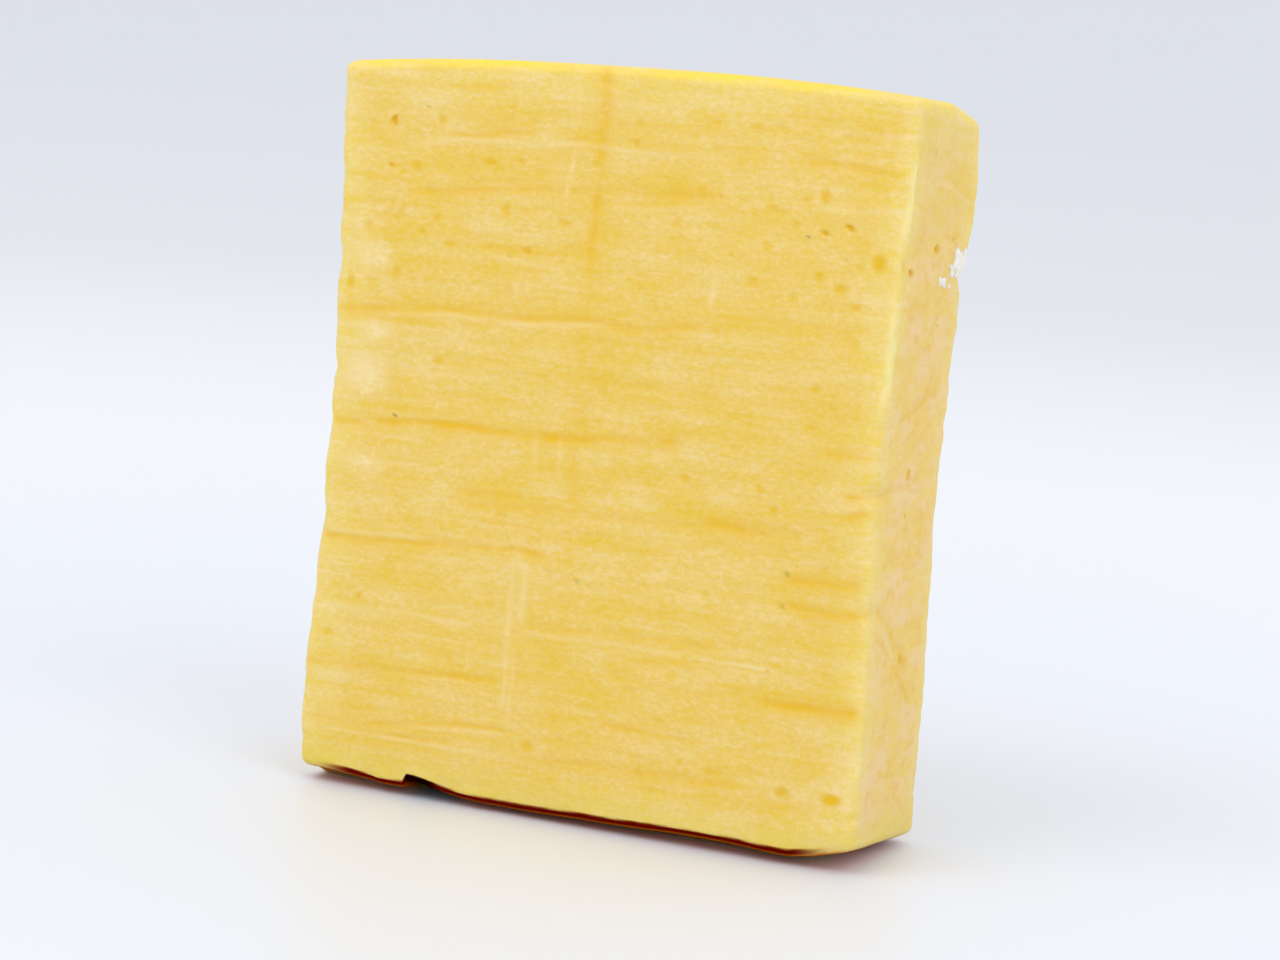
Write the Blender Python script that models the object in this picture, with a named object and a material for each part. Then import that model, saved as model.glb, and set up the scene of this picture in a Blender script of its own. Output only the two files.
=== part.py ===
"""A block of pale cheddar, standing upright on one of its narrow sides.

The block is one solid: a slab with softly rounded edges that has been squeezed by its
wrapping. Its flanks draw in at mid height, long level creases cross every side, one upper
back corner swells out over a torn notch, a chip is missing from the lower front edge, and
a few round eyes are open in the front and in the right-hand end.

Lengths are in millimetres until the mesh is scaled to metres. x runs along the width, y
from the front to the back, and z up from the surface that the block stands on.
"""

import math
import random
from typing import NamedTuple

import bmesh
import bpy
from mathutils import Matrix, Vector

METRES = 0.001

# The slab before it is squeezed
WIDTH = 85.1
DEPTH = 26.1
HEIGHT = 103.75
EDGE_RADIUS = 1.5
EDGE_STEPS = 2

# The rows and columns of faces. Columns crowd towards the edges, where the form turns.
ROWS = 70
COLUMNS_WIDE = 18
COLUMNS_DEEP = 8
CROWDING = 0.62

# How far the wrapping drew the sides in, and the height of the waist that it left
LEFT_WAIST = 1.15
LEFT_WAIST_HEIGHT = 60.0
LEFT_WAIST_REACH = 50.0
RIGHT_WAIST = 0.6
RIGHT_WAIST_HEIGHT = 54.0
RIGHT_WAIST_REACH = 35.0
RIGHT_DRAWN_IN = 0.55
RIGHT_FLARE = 0.35
RIGHT_FLARE_START = 60.0
RIGHT_TWIST = 0.35

# The crown of the top, and the drop of its rear corner on the right
CROWN = 1.6
CROWN_POWER = 2.6
REAR_CORNER_DROP = 1.6
REAR_CORNER_REACH = 9.0

# The swelling of the upper back corner on the right, and the notch torn under it
SWELL_HEIGHT = 91.0
SWELL_START = 18.0
SWELL_OUT = 0.45
SWELL_BACK = 1.25
SWELL_ABOVE = 9.0
SWELL_BELOW = 5.5
NOTCH_HEIGHT = 80.6
NOTCH_DEPTH = 1.1
NOTCH_SPREAD = 1.9
NOTCH_LENGTH = 9.0

# The flat of the foot reaches this far below the slab, which stands that much higher
FOOT_DEPTH = 0.6
FOOT_FADE = 12.0

# The underside: flat where it carries the block, lifted along its front and right edges
LIFT_FADE = 9.0
FRONT_LIFT = 1.2
FRONT_LIFT_REACH = 6.5
FRONT_RISE = 0.45
FRONT_FALL = 0.3
LEFT_END_LIFT = 0.75
RIGHT_LIFT = 2.2
RIGHT_LIFT_FALL = 0.093
RIGHT_LIFT_START = 33.0
RIGHT_LIFT_END = 44.5
EARLY_SHARE = 0.15

# The chip out of the lower front edge, and the hollow that runs in under the block from it
CHIP_PLACE = -24.6
CHIP_LENGTH = 8.5
CHIP_RISE = 1.15
CHIP_REACH = 12.5
CHIP_SLOPE = 7.0

# Gentle unevenness of the big faces
SWAY = 0.22
SWAY_SEED = 11

# The outer box is a little off the slab's middle, because of the swelling
BOX_MIDDLE_X = 0.13
BOX_MIDDLE_Y = 0.523

# Linear colour of the cheese
CHEESE_COLOUR = (0.85, 0.60, 0.16, 1.0)


class Pinch(NamedTuple):
    """A place where an upright edge is pressed in by depth (out where it is negative)."""

    height: float
    depth: float
    spread: float


class Crease(NamedTuple):
    """A long, nearly level fold pressed into one side, from start to end along that side."""

    start: float
    end: float
    height: float
    climb: float
    bow: float
    depth: float


class Eye(NamedTuple):
    """A small open hole: its place along the side and up, its half sizes and its depth."""

    along: float
    height: float
    half_wide: float
    half_high: float
    depth: float
    tilt: float


FRONT_LEFT_PINCHES = (
    Pinch(74.8, 0.60, 2.3),
    Pinch(86.0, 0.28, 4.0),
    Pinch(59.6, 0.32, 1.2),
    Pinch(50.2, 0.42, 2.2),
    Pinch(37.5, 0.48, 3.0),
    Pinch(27.6, 0.22, 1.4),
    Pinch(10.5, -0.28, 5.0),
)
FRONT_RIGHT_PINCHES = (
    Pinch(82.0, 0.42, 3.2),
    Pinch(56.5, 0.22, 3.0),
    Pinch(50.3, 0.60, 1.3),
    Pinch(34.7, 0.55, 1.2),
    Pinch(27.0, 0.25, 5.0),
)
BACK_PINCHES = (
    Pinch(70.0, 0.45, 3.0),
    Pinch(44.0, 0.35, 2.4),
    Pinch(22.0, 0.30, 3.2),
)

FRONT_CREASES = (
    Crease(-23.0, -12.0, 93.3, 0.9, -0.5, 0.22),
    Crease(-29.0, 14.5, 85.4, 2.1, 0.1, 0.30),
    Crease(-41.0, 14.0, 68.3, 1.4, 0.6, 0.34),
    Crease(-41.0, 11.6, 51.6, 2.5, 0.2, 0.36),
    Crease(-20.0, 31.0, 42.6, 1.1, 0.4, 0.26),
    Crease(-41.0, -6.5, 35.1, 1.2, -0.4, 0.34),
    Crease(-9.0, 22.0, 26.3, 1.2, 0.0, 0.20),
    Crease(-41.0, -13.0, 17.1, 1.0, 0.0, 0.24),
    Crease(27.0, 41.0, 21.0, 0.5, 0.0, 0.30),
    Crease(-41.0, -9.5, 9.0, 1.6, -0.6, 0.26),
    Crease(-7.5, 24.5, 8.0, 1.4, 0.1, 0.20),
    Crease(30.0, 41.0, 37.4, 0.9, 0.0, 0.32),
    Crease(27.5, 40.0, 93.3, -0.3, 0.0, 0.24),
)
RIGHT_CREASES = (
    Crease(-13.0, -1.0, 50.2, 0.8, 0.0, 0.26),
    Crease(-8.0, 6.0, 60.0, 5.6, 0.3, 0.24),
    Crease(-9.0, 6.0, 33.6, -12.6, 0.0, 0.28),
    Crease(-9.0, 1.5, 75.6, 0.6, 0.0, 0.22),
)

# Creases of the sides that face away follow the same habit, drawn from a seed
HIDDEN_CREASE_SEED = 5
HIDDEN_CREASES = 12
HIDDEN_CREASE_GAP = 7.6

FRONT_EYES = (
    Eye(-33.9, 95.1, 0.62, 0.72, 0.75, 0.0),
    Eye(34.9, 85.4, 0.78, 0.46, 0.70, -30.0),
    Eye(31.6, 84.3, 0.70, 0.44, 0.65, -10.0),
    Eye(-12.0, 78.0, 0.66, 0.60, 0.40, 0.0),
)
RIGHT_EYES = (
    Eye(-8.8, 80.3, 0.95, 0.52, 0.70, 0.0),
    Eye(0.2, 83.7, 0.80, 0.60, 0.70, 0.0),
)

# How far a crease takes to fade at its ends. Steep ones cross the rows of faces, and are wider.
CREASE_ENDS = 5.0
STEEP_CLIMB = 3.0
STEEP_HALF_WIDTH = 1.6


def clear_scene():
    """Remove whatever the scene holds."""
    for item in list(bpy.data.objects):
        bpy.data.objects.remove(item, do_unlink=True)


def new_collection(name):
    """A collection of the scene."""
    made = bpy.data.collections.new(name)
    bpy.context.scene.collection.children.link(made)
    return made


def bell(value, middle, spread):
    """1 at the middle, falling away smoothly to both sides."""
    return math.exp(-(((value - middle) / spread) ** 2))


def ramp(value, low, high):
    """0 up to low, 1 from high on, smooth between them."""
    share = min(max((value - low) / (high - low), 0.0), 1.0)
    return share * share * (3.0 - 2.0 * share)


def early_ramp(value, low, high):
    """0 below the low value and 1 above the high one, steepest at the start."""
    share = min(max((value - low) / (high - low), 0.0), 1.0)
    return 1.0 - (1.0 - share) ** 2


def hump(value, middle, reach):
    """1 at the middle and 0 from reach away on, as half a wave."""
    share = min(abs(value - middle) / reach, 1.0)
    return 0.5 * (1.0 + math.cos(math.pi * share))


def near_face(value, half):
    """1 on a face that lies half out from the middle, and 0 from a few millimetres inside it."""
    return ramp(value, half - 3.0, half - 0.3)


def pinched(pinches, height):
    """How far an edge is pressed in at this height."""
    return sum(p.depth * bell(height, p.height, p.spread) for p in pinches)


def crease_height(crease, along):
    """The height of a crease at a place along its side."""
    share = (along - crease.start) / (crease.end - crease.start)
    return crease.height + crease.climb * share + crease.bow * math.sin(2.0 * math.pi * share)


def crease_strength(crease, along):
    """1 along a crease, fading at both of its ends."""
    fades_in = ramp(along, crease.start - CREASE_ENDS, crease.start)
    fades_out = 1.0 - ramp(along, crease.end, crease.end + CREASE_ENDS)
    return fades_in * fades_out


def row_step():
    """The height of one row of faces."""
    return (HEIGHT - 2.0 * EDGE_RADIUS) / ROWS


def rows_off(crease, height):
    """How many rows a level lies above the row that carries a crease."""
    carrier = round((crease.height + 0.5 * crease.climb - EDGE_RADIUS) / row_step())
    return (height - EDGE_RADIUS) / row_step() - carrier


def crease_pull(creases, along, height):
    """(how far the nearest crease pulls this level up or down, how deep it presses)."""
    lift = 0.0
    depth = 0.0
    for crease in creases:
        strength = crease_strength(crease, along)
        if abs(crease.climb) > STEEP_CLIMB:
            away = height - crease_height(crease, along)
            depth += crease.depth * bell(away, 0.0, STEEP_HALF_WIDTH) * strength
            continue
        off = rows_off(crease, height)
        if abs(off) > 2.5:
            continue
        nearness = bell(off, 0.0, 1.1)
        lift += (crease_height(crease, along) - height + off * row_step()) * nearness * strength
        depth += crease.depth * bell(off, 0.0, 0.75) * strength
        depth -= 0.35 * crease.depth * bell(off, -1.6, 0.8) * strength
    return lift, depth


def hidden_creases(rng, half_length):
    """Creases for a side that faces away, one for each step up it."""
    made = []
    for index in range(HIDDEN_CREASES):
        start = rng.uniform(-half_length, 0.2 * half_length)
        end = min(half_length, start + rng.uniform(0.7, 1.6) * half_length)
        height = 6.0 + HIDDEN_CREASE_GAP * index + rng.uniform(-1.5, 1.5)
        depth = rng.uniform(0.16, 0.34)
        made.append(Crease(start, end, height, rng.uniform(-0.8, 2.2), 0.3, depth))
    return made


def sway_waves(seed):
    """A few long waves, as (cycles along, cycles up, phase, share)."""
    rng = random.Random(seed)
    waves = []
    for index in range(5):
        along = rng.uniform(0.2, 0.9) * (1 + 0.4 * index)
        up = rng.uniform(0.5, 1.2) * (1 + 0.5 * index)
        waves.append((along, up, rng.uniform(0.0, 2.0 * math.pi), 1.0 / (1 + index)))
    return waves


def sway(waves, along, up):
    """The unevenness at a place, from about -1 to 1."""
    total = 0.0
    for cycles_along, cycles_up, phase, share in waves:
        turn = 2.0 * math.pi * (cycles_along * along + cycles_up * up)
        total += share * math.sin(turn + phase)
    return total / 1.6


def stops(half_length, count):
    """Places of the cuts along a side, from one rounded edge to the other, crowded outwards."""
    places = []
    for index in range(count + 1):
        share = 2.0 * index / count - 1.0
        crowded = (1.0 + CROWDING) * share - CROWDING * share * abs(share)
        places.append(crowded * half_length)
    return places


def cut_across(bm, direction, places):
    """Cut the whole mesh at each place along a direction."""
    for place in places:
        bmesh.ops.bisect_plane(
            bm,
            geom=bm.verts[:] + bm.edges[:] + bm.faces[:],
            dist=1e-6,
            plane_co=direction * place,
            plane_no=direction,
        )


def plain_slab(bm):
    """A box with rounded edges, cut into rows and columns of faces."""
    bmesh.ops.create_cube(bm, size=1.0)
    bmesh.ops.scale(bm, vec=Vector((WIDTH, DEPTH, HEIGHT)), verts=bm.verts)
    bmesh.ops.translate(bm, vec=Vector((0.0, 0.0, 0.5 * HEIGHT)), verts=bm.verts)
    bmesh.ops.bevel(
        bm,
        geom=bm.edges[:],
        offset=EDGE_RADIUS,
        offset_type="OFFSET",
        affect="EDGES",
        segments=EDGE_STEPS,
        profile=0.5,
        material=-1,
    )
    cut_across(bm, Vector((1, 0, 0)), stops(0.5 * WIDTH - EDGE_RADIUS, COLUMNS_WIDE)[1:-1])
    cut_across(bm, Vector((0, 1, 0)), stops(0.5 * DEPTH - EDGE_RADIUS, COLUMNS_DEEP)[1:-1])
    heights = [EDGE_RADIUS + row_step() * index for index in range(1, ROWS)]
    cut_across(bm, Vector((0, 0, 1)), heights)


def front_lift(x):
    """How far the lower front edge stands off the surface, along the width."""
    rise = FRONT_RISE * hump(x, 20.0, 15.0) - FRONT_FALL * hump(x, -8.0, 14.0)
    return FRONT_LIFT + rise + LEFT_END_LIFT * ramp(-x, 28.0, 38.0)


def chip_lift(x):
    """How much higher the lower front edge is in the chip: a steep end, then a long slope."""
    if x < CHIP_PLACE:
        return 0.0
    return CHIP_RISE * (1.0 - ramp(x, CHIP_PLACE, CHIP_PLACE + CHIP_LENGTH))


def underside_lift(x, y):
    """How far the underside stands off the surface."""
    half = 0.5 * DEPTH
    front = early_ramp(-y, half - FRONT_LIFT_REACH, half)
    right_span = (RIGHT_LIFT_START, RIGHT_LIFT_END)
    right = (1.0 - EARLY_SHARE) * ramp(x, *right_span) + EARLY_SHARE * early_ramp(x, *right_span)
    hollow = ramp(-y, half - CHIP_REACH, half - CHIP_REACH + CHIP_SLOPE)
    lift = front * front_lift(x) * (1.0 - right) + right * (RIGHT_LIFT - RIGHT_LIFT_FALL * y)
    return lift + hollow * chip_lift(x)


def foot_raise(z):
    """How far the foot carries a level of the slab above its own height."""
    return FOOT_DEPTH * ramp(z, 0.0, FOOT_FADE)


def swelling(height):
    """The share of the swelling at this height: long above its middle, short below."""
    spread = SWELL_ABOVE if height > SWELL_HEIGHT else SWELL_BELOW
    return bell(height, SWELL_HEIGHT, spread)


def left_draw(y, z):
    """How far the left flank is drawn in."""
    frontness = ramp(-y, 0.0, 0.5 * DEPTH)
    edge = pinched(FRONT_LEFT_PINCHES, z) * frontness
    edge += pinched(BACK_PINCHES, z) * (1.0 - frontness)
    return LEFT_WAIST * hump(z, LEFT_WAIST_HEIGHT, LEFT_WAIST_REACH) + edge


def right_draw(y, z):
    """How far the right flank is drawn in."""
    frontness = ramp(-y, -2.0, 0.5 * DEPTH)
    backness = ramp(y, 0.0, 0.5 * DEPTH)
    drawn = RIGHT_DRAWN_IN + RIGHT_WAIST * hump(z, RIGHT_WAIST_HEIGHT, RIGHT_WAIST_REACH)
    drawn -= RIGHT_FLARE * ramp(z, RIGHT_FLARE_START, RIGHT_FLARE_START + 40.0)
    drawn += pinched(FRONT_RIGHT_PINCHES, z) * frontness
    drawn -= backness * (RIGHT_TWIST + SWELL_OUT * swelling(z))
    return drawn + 0.5 * NOTCH_DEPTH * backness * bell(z, NOTCH_HEIGHT, NOTCH_SPREAD)


class Squeeze:
    """The moves that turn the plain slab into the pressed block."""

    def __init__(self):
        rng = random.Random(HIDDEN_CREASE_SEED)
        self.back_creases = hidden_creases(rng, 0.5 * WIDTH)
        self.left_creases = hidden_creases(rng, 0.5 * DEPTH)
        self.front_waves = sway_waves(SWAY_SEED)
        self.back_waves = sway_waves(SWAY_SEED + 1)

    def front_depth(self, x, z):
        """How far the front face lies behind the slab's at a place."""
        uneven = SWAY * sway(self.front_waves, x / WIDTH, z / HEIGHT)
        return crease_pull(FRONT_CREASES, x, z)[1] + uneven

    def back_depth(self, x, z):
        """How far the back face lies in front of the slab's at a place."""
        uneven = SWAY * sway(self.back_waves, x / WIDTH, z / HEIGHT)
        return crease_pull(self.back_creases, x, z)[1] + uneven

    def right_depth(self, y, z):
        """How far the right end lies inside the slab's at a place."""
        return crease_pull(RIGHT_CREASES, y, z)[1] + right_draw(y, z)

    def moved_across(self, x, y, z):
        """Where a point goes along the width: the ends draw in, flare and crease."""
        half = 0.5 * WIDTH
        inward = left_draw(y, z) * ramp(-x, 0.0, half) - right_draw(y, z) * ramp(x, 0.0, half)
        inward += crease_pull(self.left_creases, y, z)[1] * near_face(-x, half)
        inward -= crease_pull(RIGHT_CREASES, y, z)[1] * near_face(x, half)
        return x + inward

    def moved_deep(self, x, y, z):
        """Where a point goes along the depth: both big faces crease, and a corner swells."""
        half = 0.5 * DEPTH
        new_y = y + self.front_depth(x, z) * near_face(-y, half)
        new_y -= self.back_depth(x, z) * near_face(y, half)
        swells = ramp(x, SWELL_START, 0.5 * WIDTH) * ramp(y, 0.0, half)
        torn = ramp(x, 0.5 * WIDTH - NOTCH_LENGTH, 0.5 * WIDTH) * near_face(y, half)
        new_y += SWELL_BACK * swelling(z) * swells
        return new_y - NOTCH_DEPTH * bell(z, NOTCH_HEIGHT, NOTCH_SPREAD) * torn

    def moved_up(self, x, y, z):
        """Where a point goes in height: rows follow the creases, and top and base take shape."""
        half_wide = 0.5 * WIDTH
        half_deep = 0.5 * DEPTH
        on_front = near_face(-y, half_deep)
        on_back = near_face(y, half_deep)
        on_end = (1.0 - on_front) * (1.0 - on_back)
        pull = crease_pull(FRONT_CREASES, x, z)[0] * on_front
        pull += crease_pull(self.back_creases, x, z)[0] * on_back
        pull += crease_pull(self.left_creases, y, z)[0] * near_face(-x, half_wide) * on_end
        pull += crease_pull(RIGHT_CREASES, y, z)[0] * near_face(x, half_wide) * on_end
        new_z = z + pull * ramp(z, 2.0, 8.0) * (1.0 - ramp(z, HEIGHT - 8.0, HEIGHT - 2.0))
        drop = CROWN * (abs(x) / half_wide) ** CROWN_POWER
        at_corner = ramp(x, half_wide - REAR_CORNER_REACH, half_wide) * ramp(y, 2.0, half_deep)
        new_z -= (drop + REAR_CORNER_DROP * at_corner) * ramp(z, 0.55 * HEIGHT, HEIGHT)
        return new_z + foot_raise(z) + underside_lift(x, y) * (1.0 - ramp(z, 0.0, LIFT_FADE))

    def moved(self, place):
        """The place that a point of the plain slab takes in the block."""
        x, y, z = place
        return self.moved_across(x, y, z), self.moved_deep(x, y, z), self.moved_up(x, y, z)


def pressed_block(collection, squeeze):
    """The block before its eyes are opened."""
    bm = bmesh.new()
    plain_slab(bm)
    for vert in bm.verts:
        vert.co = squeeze.moved(vert.co)
    bmesh.ops.translate(bm, vec=Vector((-BOX_MIDDLE_X, -BOX_MIDDLE_Y, 0.0)), verts=bm.verts)
    bmesh.ops.scale(bm, vec=Vector((METRES, METRES, METRES)), verts=bm.verts)
    bmesh.ops.triangulate(bm, faces=bm.faces[:])
    bmesh.ops.recalc_face_normals(bm, faces=bm.faces)
    mesh = bpy.data.meshes.new("cheddar_block")
    bm.to_mesh(mesh)
    bm.free()
    mesh.shade_smooth()
    block = bpy.data.objects.new("cheddar_block", mesh)
    collection.objects.link(block)
    return block


def eye_cutter(collection, name, centre, half_sizes, turn):
    """A small ball that opens one eye."""
    bm = bmesh.new()
    place = Matrix.Translation(centre) @ turn @ Matrix.Diagonal((*half_sizes, 1.0))
    bmesh.ops.create_icosphere(bm, subdivisions=2, radius=METRES, matrix=place)
    mesh = bpy.data.meshes.new(name)
    bm.to_mesh(mesh)
    bm.free()
    cutter = bpy.data.objects.new(name, mesh)
    cutter.hide_render = True
    cutter.display_type = "WIRE"
    collection.objects.link(cutter)


def open_eyes(block, collection, squeeze):
    """Cut every eye from the block by one Boolean over its collection of cutters."""
    for index, eye in enumerate(FRONT_EYES):
        y = -0.5 * DEPTH + squeeze.front_depth(eye.along, eye.height)
        z = eye.height + foot_raise(eye.height)
        centre = Vector((eye.along - BOX_MIDDLE_X, y - BOX_MIDDLE_Y, z)) * METRES
        turn = Matrix.Rotation(math.radians(-eye.tilt), 4, "Y")
        sizes = (eye.half_wide, eye.depth, eye.half_high)
        eye_cutter(collection, f"front_eye_{index}", centre, sizes, turn)
    for index, eye in enumerate(RIGHT_EYES):
        x = 0.5 * WIDTH - squeeze.right_depth(eye.along, eye.height)
        z = eye.height + foot_raise(eye.height)
        centre = Vector((x - BOX_MIDDLE_X, eye.along - BOX_MIDDLE_Y, z)) * METRES
        turn = Matrix.Rotation(math.radians(eye.tilt), 4, "X")
        sizes = (eye.depth, eye.half_wide, eye.half_high)
        eye_cutter(collection, f"right_eye_{index}", centre, sizes, turn)
    opening = block.modifiers.new("eyes", "BOOLEAN")
    opening.operation = "DIFFERENCE"
    opening.operand_type = "COLLECTION"
    opening.collection = collection
    opening.solver = "EXACT"


def cheese_material():
    """Waxy pale yellow cheese."""
    material = bpy.data.materials.new("pale_cheddar")
    material.use_nodes = True
    shader = material.node_tree.nodes["Principled BSDF"]
    shader.inputs["Base Color"].default_value = CHEESE_COLOUR
    shader.inputs["Roughness"].default_value = 0.5
    shader.inputs["Metallic"].default_value = 0.0
    return material


def main():
    clear_scene()
    parts = new_collection("cheddar_block")
    cutters = new_collection("cutters")
    squeeze = Squeeze()
    block = pressed_block(parts, squeeze)
    block.data.materials.append(cheese_material())
    open_eyes(block, cutters, squeeze)


main()
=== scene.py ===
"""The finished look of a block of pale cheddar that stands upright on one of its narrow sides.

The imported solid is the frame. One fine mesh takes its place, with the same squeezed form,
the level folds of the wrapping, open eyes, soft spots, rubbed lines and bloom, and a few
white crumbs sit in the torn notch at its upper back corner.

Lengths in this file are millimetres, until a finished mesh is scaled to metres. Marks are
placed by x along the width (y on the ends) and by their height above the foot line, which
is the line of the lower front edge.
"""

from __future__ import annotations

import logging
import math
import random
from dataclasses import dataclass, field
from enum import Enum
from typing import Iterable, Sequence

import bmesh
import bpy
import numpy as np
from mathutils import Matrix, Vector


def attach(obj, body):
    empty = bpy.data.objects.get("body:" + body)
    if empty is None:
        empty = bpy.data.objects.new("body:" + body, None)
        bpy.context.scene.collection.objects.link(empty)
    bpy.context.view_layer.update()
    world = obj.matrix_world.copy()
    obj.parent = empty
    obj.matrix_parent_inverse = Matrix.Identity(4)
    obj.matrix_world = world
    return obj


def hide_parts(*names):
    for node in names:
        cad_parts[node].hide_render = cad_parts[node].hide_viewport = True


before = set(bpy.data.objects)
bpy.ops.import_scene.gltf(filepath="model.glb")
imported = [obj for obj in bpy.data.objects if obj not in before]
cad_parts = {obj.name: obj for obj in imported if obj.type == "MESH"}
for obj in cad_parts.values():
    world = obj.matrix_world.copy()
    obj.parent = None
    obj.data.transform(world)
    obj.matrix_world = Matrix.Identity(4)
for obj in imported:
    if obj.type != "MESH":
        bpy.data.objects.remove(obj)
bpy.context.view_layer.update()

LOG = logging.getLogger("cheddar")

METRES = 0.001
CHEESE_NODE = "cheddar_block"

# The slab before it is squeezed, as in the solid
WIDTH = 85.1
DEPTH = 26.1
HEIGHT = 103.75
HALF_WIDE = 0.5 * WIDTH
HALF_DEEP = 0.5 * DEPTH
EDGE_RADIUS = 1.5

# The outer box's middle, off the slab's middle
BOX_MIDDLE = (0.13, 0.523)

# The foot line's height on the slab, and how far the foot carries the slab above the floor
FOOT_LINE = 1.7
FOOT_DEPTH = 0.6

# Fine faces: the cells of the plain slab along each axis, before the seen sides are halved
CELLS = (1.2, 0.85, 0.62)
CROWDING = 0.12

# A side's marks start this far inside its edge, and are full this near its face
MARKS_START = 3.0
MARKS_FULL = 0.3

Array = np.ndarray
Socket = bpy.types.NodeSocket


def srgb(red: float, green: float, blue: float) -> tuple[float, ...]:
    """A linear colour from display values.

    Args:
        red, green, blue: display values from 0 to 255.

    Returns:
        Four numbers, with an alpha of 1.
    """

    def linear(value: float) -> float:
        """One display value made linear."""
        share = value / 255.0
        if share <= 0.04045:
            return share / 12.92
        return ((share + 0.055) / 1.055) ** 2.4

    return (*(linear(v) for v in (red, green, blue)), 1.0)


def bell(value: Array, middle: float, spread: float) -> Array:
    """1 at the middle, falling away smoothly to both sides."""
    return np.exp(-(((value - middle) / spread) ** 2))


def ramp(value: Array, low: float, high: float) -> Array:
    """0 up to low, 1 from high on, smooth between them."""
    share = np.clip((value - low) / (high - low), 0.0, 1.0)
    return share * share * (3.0 - 2.0 * share)


def early_ramp(value: Array, low: float, high: float) -> Array:
    """0 below the low value and 1 above the high one, steepest at the start."""
    return 1.0 - (1.0 - np.clip((value - low) / (high - low), 0.0, 1.0)) ** 2


def hump(value: Array, middle: float, reach: float) -> Array:
    """1 at the middle and 0 from reach away on, as half a wave."""
    share = np.clip(np.abs(value - middle) / reach, 0.0, 1.0)
    return 0.5 * (1.0 + np.cos(math.pi * share))


def near_face(value: Array, half: float) -> Array:
    """1 on a face that lies half out from the middle, 0 from a few millimetres inside it."""
    return ramp(value, half - MARKS_START, half - MARKS_FULL)


class Side(Enum):
    """The upright sides of the block."""

    FRONT = "front"
    BACK = "back"
    LEFT = "left"
    RIGHT = "right"


@dataclass(frozen=True)
class Pinch:
    """A place where an upright edge is pressed in by depth (out where it is negative)."""

    height: float
    depth: float
    spread: float


@dataclass(frozen=True)
class Line:
    """A long mark from one place to another, as a fold or a rubbed streak."""

    start: tuple[float, float]
    end: tuple[float, float]
    strength: float
    half_width: float
    bow: float = 0.0
    ends: float = 2.5

    def shade(self, along: Array, up: Array, widening: float = 1.0) -> Array:
        """How strongly the mark shows at each place.

        Args:
            along, up: the places, in millimetres.
            widening: how many times its own width it is given.

        Returns:
            Values from 0 to the mark's strength.
        """
        start = np.array(self.start)
        run = np.array(self.end) - start
        length = float(np.hypot(*run))
        run /= length
        off_along, off_up = along - start[0], up - start[1]
        travel = off_along * run[0] + off_up * run[1]
        share = np.clip(travel / length, 0.0, 1.0)
        aside = off_up * run[0] - off_along * run[1] - self.bow * np.sin(2.0 * math.pi * share)
        fades = ramp(travel, -self.ends, 0.0) * (1.0 - ramp(travel, length, length + self.ends))
        return self.strength * bell(aside, 0.0, widening * self.half_width) * fades


@dataclass(frozen=True)
class Eye:
    """A small hole or a soft spot: its place, half sizes, depth and depth of colour."""

    place: tuple[float, float]
    half: tuple[float, float]
    depth: float
    tone: float
    tilt: float = 0.0

    def reach(self, along: Array, up: Array) -> Array:
        """How far out from its middle each place lies, 1 at its rim.

        Args:
            along, up: the places, in millimetres.

        Returns:
            Values from 0 at its middle.
        """
        turn = math.radians(self.tilt)
        off_along, off_up = along - self.place[0], up - self.place[1]
        across = off_along * math.cos(turn) + off_up * math.sin(turn)
        upward = -off_along * math.sin(turn) + off_up * math.cos(turn)
        return np.hypot(across / self.half[0], upward / self.half[1])


class Weave:
    """Smooth seeded unevenness over a plane, from -1 to 1."""

    SIZE = 64
    SHIFT = (31.37, 17.91)

    def __init__(self, seed: int, cell_along: float, cell_up: float) -> None:
        """Draw the values.

        Args:
            seed: the seed of the draw.
            cell_along, cell_up: the distance between two draws, each way.
        """
        self.values = np.random.default_rng(seed).uniform(-1.0, 1.0, (self.SIZE, self.SIZE))
        self.cells = (cell_along, cell_up)

    def at(self, along: Array, up: Array) -> Array:
        """The unevenness at each place.

        Args:
            along, up: the places, in millimetres.

        Returns:
            Values from -1 to 1.
        """
        u = along / self.cells[0] + self.SHIFT[0]
        v = up / self.cells[1] + self.SHIFT[1]
        left, low = np.floor(u).astype(int), np.floor(v).astype(int)
        across, rise = u - left, v - low
        across = across * across * (3.0 - 2.0 * across)
        rise = rise * rise * (3.0 - 2.0 * rise)
        total = 0.0
        for step, part in ((0, 1.0 - across), (1, across)):
            for lift, share in ((0, 1.0 - rise), (1, rise)):
                picked = self.values[(left + step) % self.SIZE, (low + lift) % self.SIZE]
                total = total + part * share * picked
        return total


def layered(seed: int, cell_along: float, cell_up: float, layers: int, fall: float) -> list:
    """Weaves of ever finer cells, each with its share, as (weave, share) pairs.

    Args:
        seed: the seed of the first draw.
        cell_along, cell_up: the coarsest cells, in millimetres.
        layers: how many weaves.
        fall: each one's share of the one before.

    Returns:
        The pairs.
    """
    return [
        (Weave(seed + 7 * k, cell_along / 2.0**k, cell_up / 2.0**k), fall**k)
        for k in range(layers)
    ]


def blended(weaves: Iterable[tuple[Weave, float]], along: Array, up: Array) -> Array:
    """The sum of layered weaves, about -1 to 1."""
    weaves = list(weaves)
    return sum(share * weave.at(along, up) for weave, share in weaves) / sum(s for _, s in weaves)


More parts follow.
